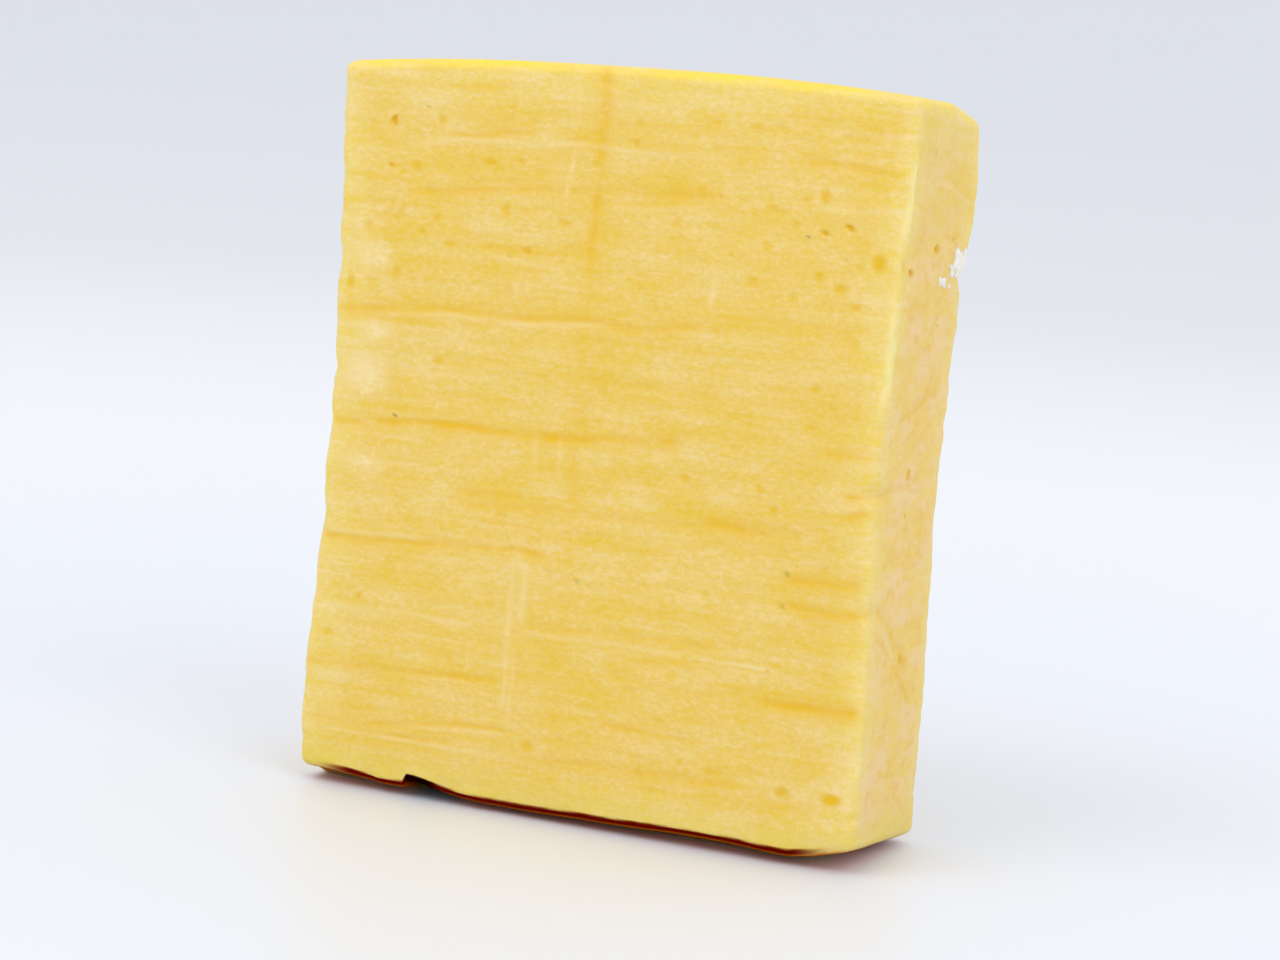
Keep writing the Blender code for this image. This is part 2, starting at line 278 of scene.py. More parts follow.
@dataclass
class PressedForm:
    """The squeezed form of the slab, with the same sizes as the solid."""

    left_waist: tuple[float, float, float] = (1.15, 60.0, 50.0)
    right_waist: tuple[float, float, float] = (0.6, 54.0, 35.0)
    right_drawn_in: float = 0.55
    right_flare: float = 0.35
    right_flare_span: tuple[float, float] = (60.0, 100.0)
    right_twist: float = 0.35
    crown: float = 1.6
    crown_power: float = 2.6
    crown_start: float = 0.55
    rear_corner_drop: float = 1.6
    rear_corner_reach: float = 9.0
    swell_height: float = 91.0
    swell_start: float = 18.0
    swell_out: float = 0.45
    swell_back: float = 1.25
    swell_spreads: tuple[float, float] = (9.0, 5.5)
    notch_height: float = 80.6
    notch_depth: float = 1.1
    notch_spread: float = 1.9
    notch_length: float = 9.0
    foot_fade: float = 12.0
    lift_fade: float = 9.0
    front_lift: float = 1.2
    front_lift_reach: float = 6.5
    front_rise: float = 0.45
    front_rise_at: tuple[float, float] = (20.0, 15.0)
    front_fall: float = 0.3
    front_fall_at: tuple[float, float] = (-8.0, 14.0)
    left_end_lift: float = 0.75
    left_end_span: tuple[float, float] = (28.0, 38.0)
    right_lift: float = 2.2
    right_lift_fall: float = 0.093
    right_lift_span: tuple[float, float] = (33.0, 44.5)
    early_share: float = 0.15
    chip_place: float = -24.6
    chip_length: float = 8.5
    chip_rise: float = 1.15
    chip_reach: float = 12.5
    chip_slope: float = 7.0
    chip_edge: float = 0.3
    sway: float = 0.22
    sway_seed: int = 11
    front_left: tuple[Pinch, ...] = (
        Pinch(74.8, 0.60, 2.3),
        Pinch(86.0, 0.28, 4.0),
        Pinch(59.6, 0.32, 1.2),
        Pinch(50.2, 0.42, 2.2),
        Pinch(37.5, 0.48, 3.0),
        Pinch(27.6, 0.22, 1.4),
        Pinch(10.5, -0.28, 5.0),
    )
    front_right: tuple[Pinch, ...] = (
        Pinch(82.0, 0.42, 3.2),
        Pinch(56.5, 0.22, 3.0),
        Pinch(50.3, 0.60, 1.3),
        Pinch(34.7, 0.55, 1.2),
        Pinch(27.0, 0.25, 5.0),
    )
    back: tuple[Pinch, ...] = (
        Pinch(70.0, 0.45, 3.0),
        Pinch(44.0, 0.35, 2.4),
        Pinch(22.0, 0.30, 3.2),
    )

    def __post_init__(self) -> None:
        """Draw the long waves of the two big faces."""
        self.front_waves = self.waves(self.sway_seed)
        self.back_waves = self.waves(self.sway_seed + 1)

    @staticmethod
    def waves(seed: int) -> list[tuple[float, float, float, float]]:
        """A few long waves, as (cycles along, cycles up, phase, share).

        Args:
            seed: the seed of the draw.

        Returns:
            The waves.
        """
        rng = random.Random(seed)
        drawn = []
        for index in range(5):
            along = rng.uniform(0.2, 0.9) * (1 + 0.4 * index)
            up = rng.uniform(0.5, 1.2) * (1 + 0.5 * index)
            drawn.append((along, up, rng.uniform(0.0, 2.0 * math.pi), 1.0 / (1 + index)))
        return drawn

    def sways(self, waves: Sequence[tuple[float, ...]], x: Array, z: Array) -> Array:
        """The long unevenness of a big face at each place.

        Args:
            waves: the face's waves.
            x, z: the places, in millimetres.

        Returns:
            How far the face lies in or out.
        """
        total = 0.0
        for along, up, phase, share in waves:
            turn = 2.0 * math.pi * (along * x / WIDTH + up * z / HEIGHT)
            total = total + share * np.sin(turn + phase)
        return self.sway * total / 1.6

    @staticmethod
    def pinched(pinches: Iterable[Pinch], z: Array) -> Array:
        """How far an edge is pressed in at each height."""
        return sum(p.depth * bell(z, p.height, p.spread) for p in pinches)

    def swelling(self, z: Array) -> Array:
        """The share of the swelling at each height: long above its middle, short below."""
        above, below = self.swell_spreads
        spread = np.where(z > self.swell_height, above, below)
        return np.exp(-(((z - self.swell_height) / spread) ** 2))

    def left_draw(self, y: Array, z: Array) -> Array:
        """How far the left flank is drawn in.

        Args:
            y, z: the places on it.

        Returns:
            Millimetres inwards.
        """
        frontness = ramp(-y, 0.0, HALF_DEEP)
        edge = self.pinched(self.front_left, z) * frontness
        edge = edge + self.pinched(self.back, z) * (1.0 - frontness)
        depth, height, reach = self.left_waist
        return depth * hump(z, height, reach) + edge

    def right_draw(self, y: Array, z: Array) -> Array:
        """How far the right flank is drawn in.

        Args:
            y, z: the places on it.

        Returns:
            Millimetres inwards.
        """
        frontness = ramp(-y, -2.0, HALF_DEEP)
        backness = ramp(y, 0.0, HALF_DEEP)
        depth, height, reach = self.right_waist
        drawn = self.right_drawn_in + depth * hump(z, height, reach)
        drawn = drawn - self.right_flare * ramp(z, *self.right_flare_span)
        drawn = drawn + self.pinched(self.front_right, z) * frontness
        drawn = drawn - backness * (self.right_twist + self.swell_out * self.swelling(z))
        torn = bell(z, self.notch_height, self.notch_spread)
        return drawn + 0.5 * self.notch_depth * backness * torn

    def front_lift_at(self, x: Array) -> Array:
        """How far the lower front edge stands off the surface, along the width."""
        rise = self.front_rise * hump(x, *self.front_rise_at)
        rise = rise - self.front_fall * hump(x, *self.front_fall_at)
        return self.front_lift + rise + self.left_end_lift * ramp(-x, *self.left_end_span)

    def chip(self, x: Array, y: Array) -> Array:
        """How much higher the underside is in the chip, and in the hollow behind it.

        Args:
            x, y: the places under the block.

        Returns:
            Millimetres upwards.
        """
        fades = 1.0 - ramp(x, self.chip_place, self.chip_place + self.chip_length)
        starts = ramp(x, self.chip_place - self.chip_edge, self.chip_place)
        deepest = HALF_DEEP - self.chip_reach
        return self.chip_rise * fades * starts * ramp(-y, deepest, deepest + self.chip_slope)

    def underside_lift(self, x: Array, y: Array) -> Array:
        """How far the underside stands off the surface.

        Args:
            x, y: the places under the block.

        Returns:
            Millimetres upwards.
        """
        front = early_ramp(-y, HALF_DEEP - self.front_lift_reach, HALF_DEEP)
        early = self.early_share
        right = (1.0 - early) * ramp(x, *self.right_lift_span)
        right = right + early * early_ramp(x, *self.right_lift_span)
        right_lift = self.right_lift - self.right_lift_fall * y
        return front * self.front_lift_at(x) * (1.0 - right) + right * right_lift + self.chip(x, y)

    def rounded(self, places: Array) -> Array:
        """The plain slab's points with its edges and corners rounded.

        Args:
            places: points on the sharp slab, one row each.

        Returns:
            The same points on the rounded slab.
        """
        middle = np.array((0.0, 0.0, 0.5 * HEIGHT))
        inner = np.array((HALF_WIDE, HALF_DEEP, 0.5 * HEIGHT)) - EDGE_RADIUS
        core = np.clip(places - middle, -inner, inner)
        outward = places - middle - core
        length = np.linalg.norm(outward, axis=1, keepdims=True)
        return middle + core + EDGE_RADIUS * outward / np.maximum(length, 1e-9)

    def squeezed(self, places: Array) -> Array:
        """The rounded slab's points moved into the squeezed form, without its marks.

        Args:
            places: points on the rounded slab, one row each.

        Returns:
            The same points in the squeezed form.
        """
        x, y, z = places.T
        new_x = x + self.left_draw(y, z) * ramp(-x, 0.0, HALF_WIDE)
        new_x = new_x - self.right_draw(y, z) * ramp(x, 0.0, HALF_WIDE)
        new_y = y + self.sways(self.front_waves, x, z) * near_face(-y, HALF_DEEP)
        new_y = new_y - self.sways(self.back_waves, x, z) * near_face(y, HALF_DEEP)
        swells = ramp(x, self.swell_start, HALF_WIDE) * ramp(y, 0.0, HALF_DEEP)
        torn = ramp(x, HALF_WIDE - self.notch_length, HALF_WIDE) * near_face(y, HALF_DEEP)
        new_y = new_y + self.swell_back * self.swelling(z) * swells
        new_y = new_y - self.notch_depth * bell(z, self.notch_height, self.notch_spread) * torn
        drop = self.crown * (np.abs(x) / HALF_WIDE) ** self.crown_power
        at_corner = ramp(x, HALF_WIDE - self.rear_corner_reach, HALF_WIDE)
        drop = drop + self.rear_corner_drop * at_corner * ramp(y, 2.0, HALF_DEEP)
        new_z = z - drop * ramp(z, self.crown_start * HEIGHT, HEIGHT)
        new_z = new_z + FOOT_DEPTH * ramp(z, 0.0, self.foot_fade)
        new_z = new_z + self.underside_lift(x, y) * (1.0 - ramp(z, 0.0, self.lift_fade))
        return np.stack((new_x, new_y, new_z), axis=1)


# The folds of a side that faces away: how many, the lowest and the step up to the next
HIDDEN_FOLDS = 12
HIDDEN_LOWEST = 6.0
HIDDEN_STEP = 7.6


def hidden_folds(rng: random.Random, half_length: float) -> tuple[Line, ...]:
    """Folds for a side that faces away, one for each step up it, as in the solid.

    Args:
        rng: the draw.
        half_length: half the length of the side.

    Returns:
        The folds.
    """
    made = []
    for index in range(HIDDEN_FOLDS):
        start = rng.uniform(-half_length, 0.2 * half_length)
        end = min(half_length, start + rng.uniform(0.7, 1.6) * half_length)
        height = HIDDEN_LOWEST + HIDDEN_STEP * index + rng.uniform(-1.5, 1.5) - FOOT_LINE
        depth = rng.uniform(0.16, 0.34)
        climb = rng.uniform(-0.8, 2.2)
        ends = ((start, height), (end, height + climb))
        made.append(Line(*ends, 2.8 * depth, 0.75, 0.3))
    return tuple(made)


def fold(
    x0: float, z0: float, x1: float, z1: float, strength: float, half: float, bow: float = 0.0
) -> Line:
    """A fold between two places."""
    return Line((x0, z0), (x1, z1), strength, half, bow)


FRONT_FOLDS = (
    fold(-32.0, 98.3, -17.0, 98.4, 0.35, 0.35),
    fold(-22.7, 91.3, -12.7, 92.2, 0.60, 0.38, -0.25),
    fold(-5.0, 91.5, -1.3, 91.7, 0.50, 0.40),
    fold(28.0, 91.9, 39.4, 91.4, 0.65, 0.50),
    fold(-29.0, 83.6, 14.4, 85.8, 0.55, 0.65, 0.1),
    fold(-24.0, 84.9, 6.0, 86.2, 0.35, 0.40, 0.2),
    fold(-40.0, 66.1, 13.7, 68.2, 0.85, 0.55, 0.5),
    fold(-30.0, 67.6, -14.0, 68.4, 0.40, 0.35),
    fold(-40.6, 49.9, 11.6, 52.4, 1.00, 0.55, 0.2),
    fold(-26.0, 50.0, -9.0, 50.8, 0.45, 0.35),
    fold(-18.0, 40.4, 18.0, 41.7, 0.50, 0.45, 0.4),
    fold(-19.0, 42.0, -11.5, 42.1, 0.50, 0.70),
    fold(18.7, 42.1, 31.0, 42.0, 0.80, 0.70),
    fold(-40.6, 33.6, -7.0, 34.7, 0.90, 0.45, -0.3),
    fold(-8.4, 24.6, 21.0, 25.9, 0.50, 0.40),
    fold(-41.0, 15.4, -13.4, 16.4, 0.70, 0.40),
    fold(28.7, 19.3, 40.9, 19.8, 0.95, 0.65),
    fold(6.6, 12.6, 17.3, 12.6, 0.55, 0.40),
    fold(-40.6, 7.3, -9.9, 9.4, 0.60, 0.35, -0.5),
    fold(-26.3, 6.4, -18.4, 7.1, 0.65, 0.35),
    fold(-7.0, 6.4, 24.4, 7.6, 0.55, 0.50, 0.1),
    fold(31.0, 35.9, 39.8, 36.6, 1.00, 0.60),
    fold(32.3, 32.6, 41.6, 32.6, 0.80, 0.55),
    fold(36.0, 53.3, 41.0, 53.3, 0.60, 0.50),
    fold(38.7, 45.4, 42.0, 46.4, 0.75, 0.45),
    fold(39.5, 48.2, 42.5, 48.5, 1.00, 0.50),
    fold(-2.0, 59.5, 38.0, 59.0, 0.35, 0.60, 0.3),
    fold(-24.0, 76.4, -4.0, 76.0, 0.30, 0.45),
    fold(20.0, 69.8, 38.0, 70.2, 0.35, 0.50),
    fold(-16.0, 38.2, 2.0, 38.6, 0.35, 0.35),
    fold(6.0, 19.6, 20.0, 18.8, 0.35, 0.45),
)
FRONT_UPRIGHT_FOLDS = (
    fold(-1.6, 100.5, -2.1, 76.0, 0.78, 0.70),
    fold(-2.1, 76.0, -2.6, 51.0, 0.32, 0.80),
    fold(-2.6, 50.7, -2.6, 43.6, 0.50, 0.60),
    fold(-2.4, 40.0, -2.4, 2.0, 0.32, 0.75),
    fold(-9.0, 19.5, -9.2, 12.0, 0.45, 0.30),
    fold(39.6, 99.0, 39.2, 86.0, 0.25, 0.40),
)
FRONT_RUBS = (
    fold(-1.3, 90.8, 16.0, 90.9, 0.42, 0.36),
    fold(-30.0, 90.2, -5.0, 91.0, 0.42, 0.42, 0.2),
    fold(-33.0, 65.7, 0.0, 67.0, 0.51, 0.39, 0.3),
    fold(-40.0, 34.5, -27.0, 34.5, 0.47, 0.39),
    fold(-20.0, 34.6, -12.0, 35.4, 0.34, 0.29),
    fold(-38.0, 23.7, -18.0, 23.6, 0.51, 0.45),
    fold(-7.0, 23.6, 15.0, 24.1, 0.47, 0.36, 0.15),
    fold(20.0, 23.9, 28.7, 23.9, 0.81, 0.26),
    fold(-36.3, 5.9, -7.0, 6.2, 0.51, 0.33),
    fold(-24.0, 8.4, -11.0, 8.9, 0.38, 0.26),
    fold(-17.0, 75.0, -6.0, 74.2, 0.30, 0.39),
    fold(2.0, 82.7, 14.0, 84.2, 0.26, 0.39),
    fold(-29.0, 57.8, -12.0, 58.2, 0.26, 0.45),
    fold(32.0, 85.6, 40.0, 86.4, 0.30, 0.52),
)
FRONT_UPRIGHT_RUBS = (
    fold(-5.9, 89.6, -6.9, 83.6, 0.61, 0.35),
    fold(-5.5, 100.7, -5.8, 94.3, 0.32, 0.32),
    fold(-6.5, 100.2, -6.6, 94.8, 0.25, 0.29),
    fold(-10.7, 32.6, -10.8, 20.0, 0.43, 0.40),
    fold(-9.9, 33.8, -9.6, 33.2, 0.58, 0.64),
    fold(-8.7, 32.6, -8.8, 26.0, 0.58, 0.40),
    fold(-10.6, 20.0, -10.6, 14.0, 0.47, 0.40),
    fold(-9.6, 19.0, -9.4, 10.0, 0.43, 0.40),
    fold(-8.5, 50.0, -8.6, 45.7, 0.32, 0.48),
    fold(-4.6, 50.0, -4.8, 45.7, 0.29, 0.48),
    fold(16.2, 74.3, 16.2, 71.4, 0.58, 0.29),
    fold(16.8, 96.0, 16.9, 87.0, 0.22, 0.29),
)
RIGHT_FOLDS = (
    fold(-13.0, 48.4, -8.5, 48.6, 0.80, 0.40),
    fold(-8.0, 48.7, -1.0, 49.0, 0.30, 0.30),
    fold(-6.0, 58.0, 2.0, 60.4, 0.75, 0.50, 0.2),
    fold(2.8, 61.0, 5.0, 64.2, 0.60, 0.45),
    fold(-8.0, 32.2, 2.0, 25.0, 0.75, 0.50, 0.2),
    fold(-9.0, 29.0, -5.0, 27.0, 0.50, 0.40),
    fold(-1.5, 24.2, 5.0, 19.5, 0.65, 0.45),
    fold(-8.0, 74.0, -2.0, 74.2, 0.60, 0.55),
    fold(-7.0, 40.5, 2.0, 39.5, 0.40, 0.40),
    fold(1.0, 44.5, 9.0, 44.8, 0.30, 0.35),
    fold(-12.0, 66.5, -1.0, 67.0, 0.25, 0.30),
    fold(2.0, 92.5, 12.0, 90.5, 0.35, 0.40),
    fold(0.0, 28.5, 8.0, 31.0, 0.35, 0.60),
)
RIGHT_RUBS = (
    fold(-8.0, 30.5, -2.0, 25.5, 0.50, 0.35),
    fold(-6.0, 36.5, -3.0, 37.0, 0.60, 0.60),
    fold(-1.0, 91.5, 8.0, 90.0, 0.40, 0.20),
    fold(-8.5, 48.1, -2.0, 47.8, 0.50, 0.30),
)

OPEN_EYES = (
    Eye((-33.9, 93.4), (0.58, 0.70), 0.32, 1.0),
    Eye((34.9, 83.7), (0.72, 0.42), 0.29, 1.0, -30.0),
    Eye((31.6, 82.6), (0.62, 0.40), 0.27, 0.95, -10.0),
    Eye((-29.6, 89.4), (0.26, 0.26), 0.15, 0.95),
    Eye((-34.3, 87.1), (0.55, 0.32), 0.15, 0.85, -15.0),
    Eye((-12.0, 76.3), (0.60, 0.55), 0.16, 0.75),
    Eye((-14.7, 75.4), (0.32, 0.26), 0.10, 0.70),
    Eye((3.1, 92.2), (0.42, 0.34), 0.13, 0.70),
    Eye((16.2, 85.9), (0.42, 0.30), 0.10, 0.65),
    Eye((34.8, 79.3), (0.24, 0.22), 0.10, 0.80),
    Eye((-10.9, 35.4), (0.35, 0.30), 0.09, 0.65),
    Eye((28.5, 23.6), (0.34, 0.30), 0.09, 0.65),
    Eye((-15.2, 19.8), (0.20, 0.20), 0.10, 0.90),
)
SOFT_SPOTS = (
    Eye((-26.3, 93.6), (0.50, 0.50), 0.07, 0.75),
    Eye((-32.4, 86.3), (0.50, 0.40), 0.07, 0.62),
    Eye((-30.2, 87.1), (0.80, 0.55), 0.08, 0.75),
    Eye((-18.6, 88.0), (0.95, 0.42), 0.08, 0.81),
    Eye((-13.8, 88.4), (0.55, 0.35), 0.07, 0.75),
    Eye((-15.7, 81.6), (0.55, 0.90), 0.07, 0.69),
    Eye((-6.6, 80.4), (0.90, 0.45), 0.07, 0.69),
    Eye((-37.5, 78.4), (0.65, 0.60), 0.06, 0.56),
    Eye((-28.8, 77.9), (0.50, 0.42), 0.06, 0.62),
    Eye((-26.6, 80.0), (0.65, 0.55), 0.06, 0.62),
    Eye((-24.3, 76.3), (0.75, 0.50), 0.06, 0.62),
    Eye((-33.2, 71.8), (0.55, 0.90), 0.06, 0.56),
    Eye((-32.4, 80.7), (0.45, 0.90), 0.06, 0.50),
    Eye((-25.2, 60.0), (0.65, 0.60), 0.06, 0.69),
    Eye((30.9, 87.4), (0.65, 0.85), 0.08, 0.81),
    Eye((23.7, 85.1), (0.60, 0.55), 0.07, 0.62),
    Eye((27.3, 83.2), (0.42, 0.60), 0.06, 0.56),
    Eye((28.4, 86.8), (0.50, 0.50), 0.06, 0.50),
    Eye((23.7, 80.0), (0.50, 0.60), 0.06, 0.56),
    Eye((39.6, 79.5), (0.85, 0.95), 0.07, 0.94),
    Eye((31.4, 76.8), (0.60, 0.60), 0.07, 0.69),
    Eye((34.4, 75.4), (0.85, 0.60), 0.07, 0.75),
    Eye((36.7, 73.2), (0.75, 0.40), 0.06, 0.62),
    Eye((27.8, 73.5), (0.50, 0.60), 0.06, 0.56),
    Eye((21.9, 75.1), (0.65, 0.60), 0.06, 0.56),
    Eye((18.6, 78.4), (0.40, 0.40), 0.05, 0.50),
    Eye((20.5, 95.4), (0.65, 0.60), 0.06, 0.56),
    Eye((10.1, 81.8), (0.60, 0.70), 0.05, 0.50),
    Eye((13.2, 86.6), (0.60, 0.30), 0.06, 0.62),
    Eye((14.4, 47.9), (0.55, 0.60), 0.06, 0.62),
    Eye((25.9, 47.6), (0.40, 0.50), 0.06, 0.62),
    Eye((28.0, 45.1), (0.50, 0.50), 0.06, 0.62),
    Eye((32.6, 61.8), (0.75, 0.45), 0.06, 0.62),
    Eye((34.4, 62.1), (0.30, 0.35), 0.05, 0.56),
    Eye((32.6, 56.6), (0.55, 0.30), 0.06, 0.62),
    Eye((-6.1, 8.2), (0.70, 0.60), 0.07, 0.75),
    Eye((16.8, 9.4), (0.45, 0.40), 0.06, 0.62),
    Eye((21.4, 8.8), (0.85, 0.40), 0.06, 0.62),
    Eye((32.1, 7.7), (0.95, 0.55), 0.07, 0.75),
    Eye((39.0, 7.7), (1.20, 0.70), 0.08, 1.00),
    Eye((-34.7, 25.5), (0.65, 0.45), 0.06, 0.69),
    Eye((-40.2, 70.0), (0.50, 1.00), 0.06, 0.69),
    Eye((1.0, 58.5), (0.50, 0.80), 0.05, 0.50),
    Eye((-39.0, 19.7), (0.70, 0.45), 0.06, 0.56),
)
RIGHT_EYES = (
    Eye((-8.9, 78.6), (0.95, 0.50), 0.70, 0.95),
    Eye((0.2, 82.0), (0.75, 0.58), 0.70, 1.0),
    Eye((6.0, 83.8), (0.40, 0.30), 0.25, 0.60, 40.0),
    Eye((-1.0, 50.6), (0.85, 0.80), 0.25, 0.70, -30.0),
    Eye((-1.0, 45.1), (0.50, 0.40), 0.18, 0.55),
    Eye((4.0, 71.2), (0.45, 0.30), 0.20, 0.60),
    Eye((1.2, 25.2), (0.80, 0.60), 0.25, 0.60),
    Eye((-4.5, 95.0), (0.60, 0.50), 0.12, 0.35),
)
SPECKS = (
    Eye((-31.7, 51.6), (0.32, 0.28), 0.05, 1.0),
    Eye((29.2, 81.8), (0.30, 0.26), 0.05, 0.8),
    Eye((-28.9, 95.4), (0.22, 0.20), 0.05, 0.6),
    Eye((30.6, 36.8), (0.32, 0.28), 0.05, 0.7),
    Eye((-0.8, 31.9), (0.30, 0.30), 0.05, 0.4),
    Eye((30.4, 32.5), (0.28, 0.24), 0.05, 0.4),
)
BLOOM = (
    Eye((-37.0, 74.0), (4.5, 3.4), 0.0, 0.80),
    Eye((-35.5, 63.3), (5.0, 2.6), 0.0, 0.70),
    Eye((-37.0, 57.0), (5.5, 4.2), 0.0, 0.90),
    Eye((-36.0, 44.3), (5.5, 2.6), 0.0, 0.65),
    Eye((-33.0, 22.8), (6.0, 1.6), 0.0, 0.35),
    Eye((-9.0, 62.5), (5.0, 1.6), 0.0, 0.40),
    Eye((-8.0, 86.0), (2.5, 5.0), 0.0, 0.30),
    Eye((-1.0, 96.0), (12.0, 3.5), 0.0, 0.30),
    Eye((-9.5, 27.0), (2.5, 8.0), 0.0, 0.35),
    Eye((34.0, 85.5), (6.0, 3.0), 0.0, 0.30),
)


@dataclass
class SideMarks:
    """Everything marked on one upright side, and what it presses and colours."""

    folds: tuple[Line, ...] = ()
    rubs: tuple[Line, ...] = ()
    eyes: tuple[Eye, ...] = ()
    spots: tuple[Eye, ...] = ()
    specks: tuple[Eye, ...] = ()
    bloom: tuple[Eye, ...] = ()
    seed: int = 1
    fold_depth: float = 0.13
    rub_height: float = 0.035
    crinkle: float = 0.055
    warp: float = 0.45
    halo: float = 0.45
    halo_width: float = 2.6
    broken_mean: float = 0.80
    broken_range: float = 0.75
    broken_limits: tuple[float, float] = (0.15, 1.2)
    eye_lip: float = 0.03
    eye_lip_at: tuple[float, float] = (1.25, 0.3)
    eye_edge: tuple[float, float] = (0.75, 1.25)
    spot_edge: tuple[float, float] = (0.60, 1.70)
    speck_edge: tuple[float, float] = (0.5, 1.2)
    bloom_edge: tuple[float, float] = (0.0, 1.3)

    def __post_init__(self) -> None:
        """Draw the unevenness that bends and breaks the marks."""
        self.bend_up = layered(self.seed, 9.0, 5.0, 2, 0.5)
        self.bend_along = layered(self.seed + 100, 8.0, 5.0, 3, 0.6)
        self.breaks = layered(self.seed + 200, 5.0, 1.6, 3, 0.6)
        self.crinkles = layered(self.seed + 300, 3.6, 1.4, 3, 0.62)

    def bent(self, along: Array, up: Array) -> tuple[Array, Array]:
        """The places with the marks' own unevenness taken off."""
        return (
            along + self.warp * blended(self.bend_along, along, up),
            up + self.warp * blended(self.bend_up, along, up),
        )

    def lines(self, lines: Iterable[Line], along: Array, up: Array, halo: float = 0.0) -> Array:
        """The strongest of some lines at each place, broken here and there.

        Args:
            lines: the lines.
            along, up: the places, in millimetres.
            halo: the share of each line that is a wide soft band around it.

        Returns:
            How strongly the lines show.
        """
        bent_along, bent_up = self.bent(along, up)
        strongest = np.zeros_like(along)
        for line in lines:
            shade = (1.0 - halo) * line.shade(bent_along, bent_up)
            if halo:
                shade = shade + halo * line.shade(bent_along, bent_up, self.halo_width)
            strongest = np.maximum(strongest, shade)
        broken = self.broken_mean + self.broken_range * blended(self.breaks, along, up)
        return strongest * np.clip(broken, *self.broken_limits)

    @staticmethod
    def patches(eyes: Iterable[Eye], along: Array, up: Array, inner: float, outer: float) -> Array:
        """The strongest of some spots, full inside inner and gone beyond outer half sizes.

        Args:
            eyes: the spots.
            along, up: the places, in millimetres.
            inner, outer: where a spot starts to fade and where it ends.

        Returns:
            Values from 0 to the strongest tone.
        """
        strongest = np.zeros_like(along)
        for eye in eyes:
            reach = eye.reach(along, up)
            strongest = np.maximum(strongest, eye.tone * (1.0 - ramp(reach, inner, outer)))
        return strongest

    def pressed(self, along: Array, up: Array) -> Array:
        """How deep the side lies at each place, below its smooth form.

        Args:
            along, up: the places, in millimetres.

        Returns:
            Millimetres inwards.
        """
        depth = self.fold_depth * self.lines(self.folds, along, up)
        depth = depth - self.rub_height * self.lines(self.rubs, along, up)
        depth = depth + self.crinkle * blended(self.crinkles, along, up)
        for eye in self.eyes:
            reach = eye.reach(along, up)
            hollow = np.sqrt(np.clip(1.0 - reach * reach, 0.0, 1.0))
            lip = bell(reach, *self.eye_lip_at)
            depth = depth + eye.depth * hollow - self.eye_lip * lip
        for spot in (*self.spots, *self.specks):
            depth = depth + spot.depth * np.exp(-spot.reach(along, up) ** 2)
        return depth

    def tones(self, along: Array, up: Array) -> dict[str, Array]:
        """The strength of each kind of mark at each place, by the name of its attribute."""
        return {
            # how strongly the folds' painted crease shade shows, with a soft band round each
            "fold": self.lines(self.folds, along, up, self.halo),
            "rub": self.lines(self.rubs, along, up),
            "eye": self.patches(self.eyes, along, up, *self.eye_edge),
            "spot": self.patches(self.spots, along, up, *self.spot_edge),
            "speck": self.patches(self.specks, along, up, *self.speck_edge),
            "bloom": self.patches(self.bloom, along, up, *self.bloom_edge),
        }


# Strewn spots: the share of a side's length that they keep to, their half sizes and depths
STREWN_SHARE = 0.92
STREWN_ACROSS = (0.3, 0.75)
STREWN_UP = (0.3, 0.6)
STREWN_DEPTH = (0.04, 0.14)


def scattered(
    rng: random.Random,
    count: int,
    half_length: float,
    heights: tuple[float, float] = (4.0, 97.0),
    tones: tuple[float, float] = (0.35, 0.7),
) -> tuple[Eye, ...]:
    """Soft spots strewn over a side.

    Args:
        rng: the draw.
        count: how many.
        half_length: half the length of the side.
        heights: the lowest and the highest.
        tones: the faintest and the strongest.

    Returns:
        The spots.
    """
    made = []
    for _ in range(count):
        share = rng.uniform(-STREWN_SHARE, STREWN_SHARE)
        place = (share * half_length, rng.uniform(*heights))
        half = (rng.uniform(*STREWN_ACROSS), rng.uniform(*STREWN_UP))
        made.append(Eye(place, half, rng.uniform(*STREWN_DEPTH), rng.uniform(*tones)))
    return tuple(made)


def all_marks() -> dict[Side, SideMarks]:
    """The marks of the four upright sides. Those of the hidden ones follow the solid's draw.

    Returns:
        Each side's marks.
    """
    rng = random.Random(5)
    back_folds = hidden_folds(rng, HALF_WIDE)
    left_folds = hidden_folds(rng, HALF_DEEP)
    spots = random.Random(23)
    return {
        Side.FRONT: SideMarks(
            FRONT_FOLDS + FRONT_UPRIGHT_FOLDS,
            FRONT_RUBS + FRONT_UPRIGHT_RUBS,
            OPEN_EYES,
            SOFT_SPOTS
            + scattered(spots, 60, HALF_WIDE, (68.0, 97.0), (0.15, 0.45))
            + scattered(spots, 55, HALF_WIDE, (4.0, 66.0), (0.12, 0.35)),
            SPECKS,
            BLOOM,
            seed=3,
        ),
        Side.BACK: SideMarks(back_folds, (), (), scattered(spots, 40, HALF_WIDE), seed=4),
        Side.LEFT: SideMarks(left_folds, (), (), scattered(spots, 12, HALF_DEEP), seed=5),
        Side.RIGHT: SideMarks(
            RIGHT_FOLDS,
            RIGHT_RUBS,
            RIGHT_EYES,
            scattered(spots, 26, HALF_DEEP, (4.0, 97.0), (0.2, 0.5)),
            seed=6,
            crinkle=0.09,
        ),
    }


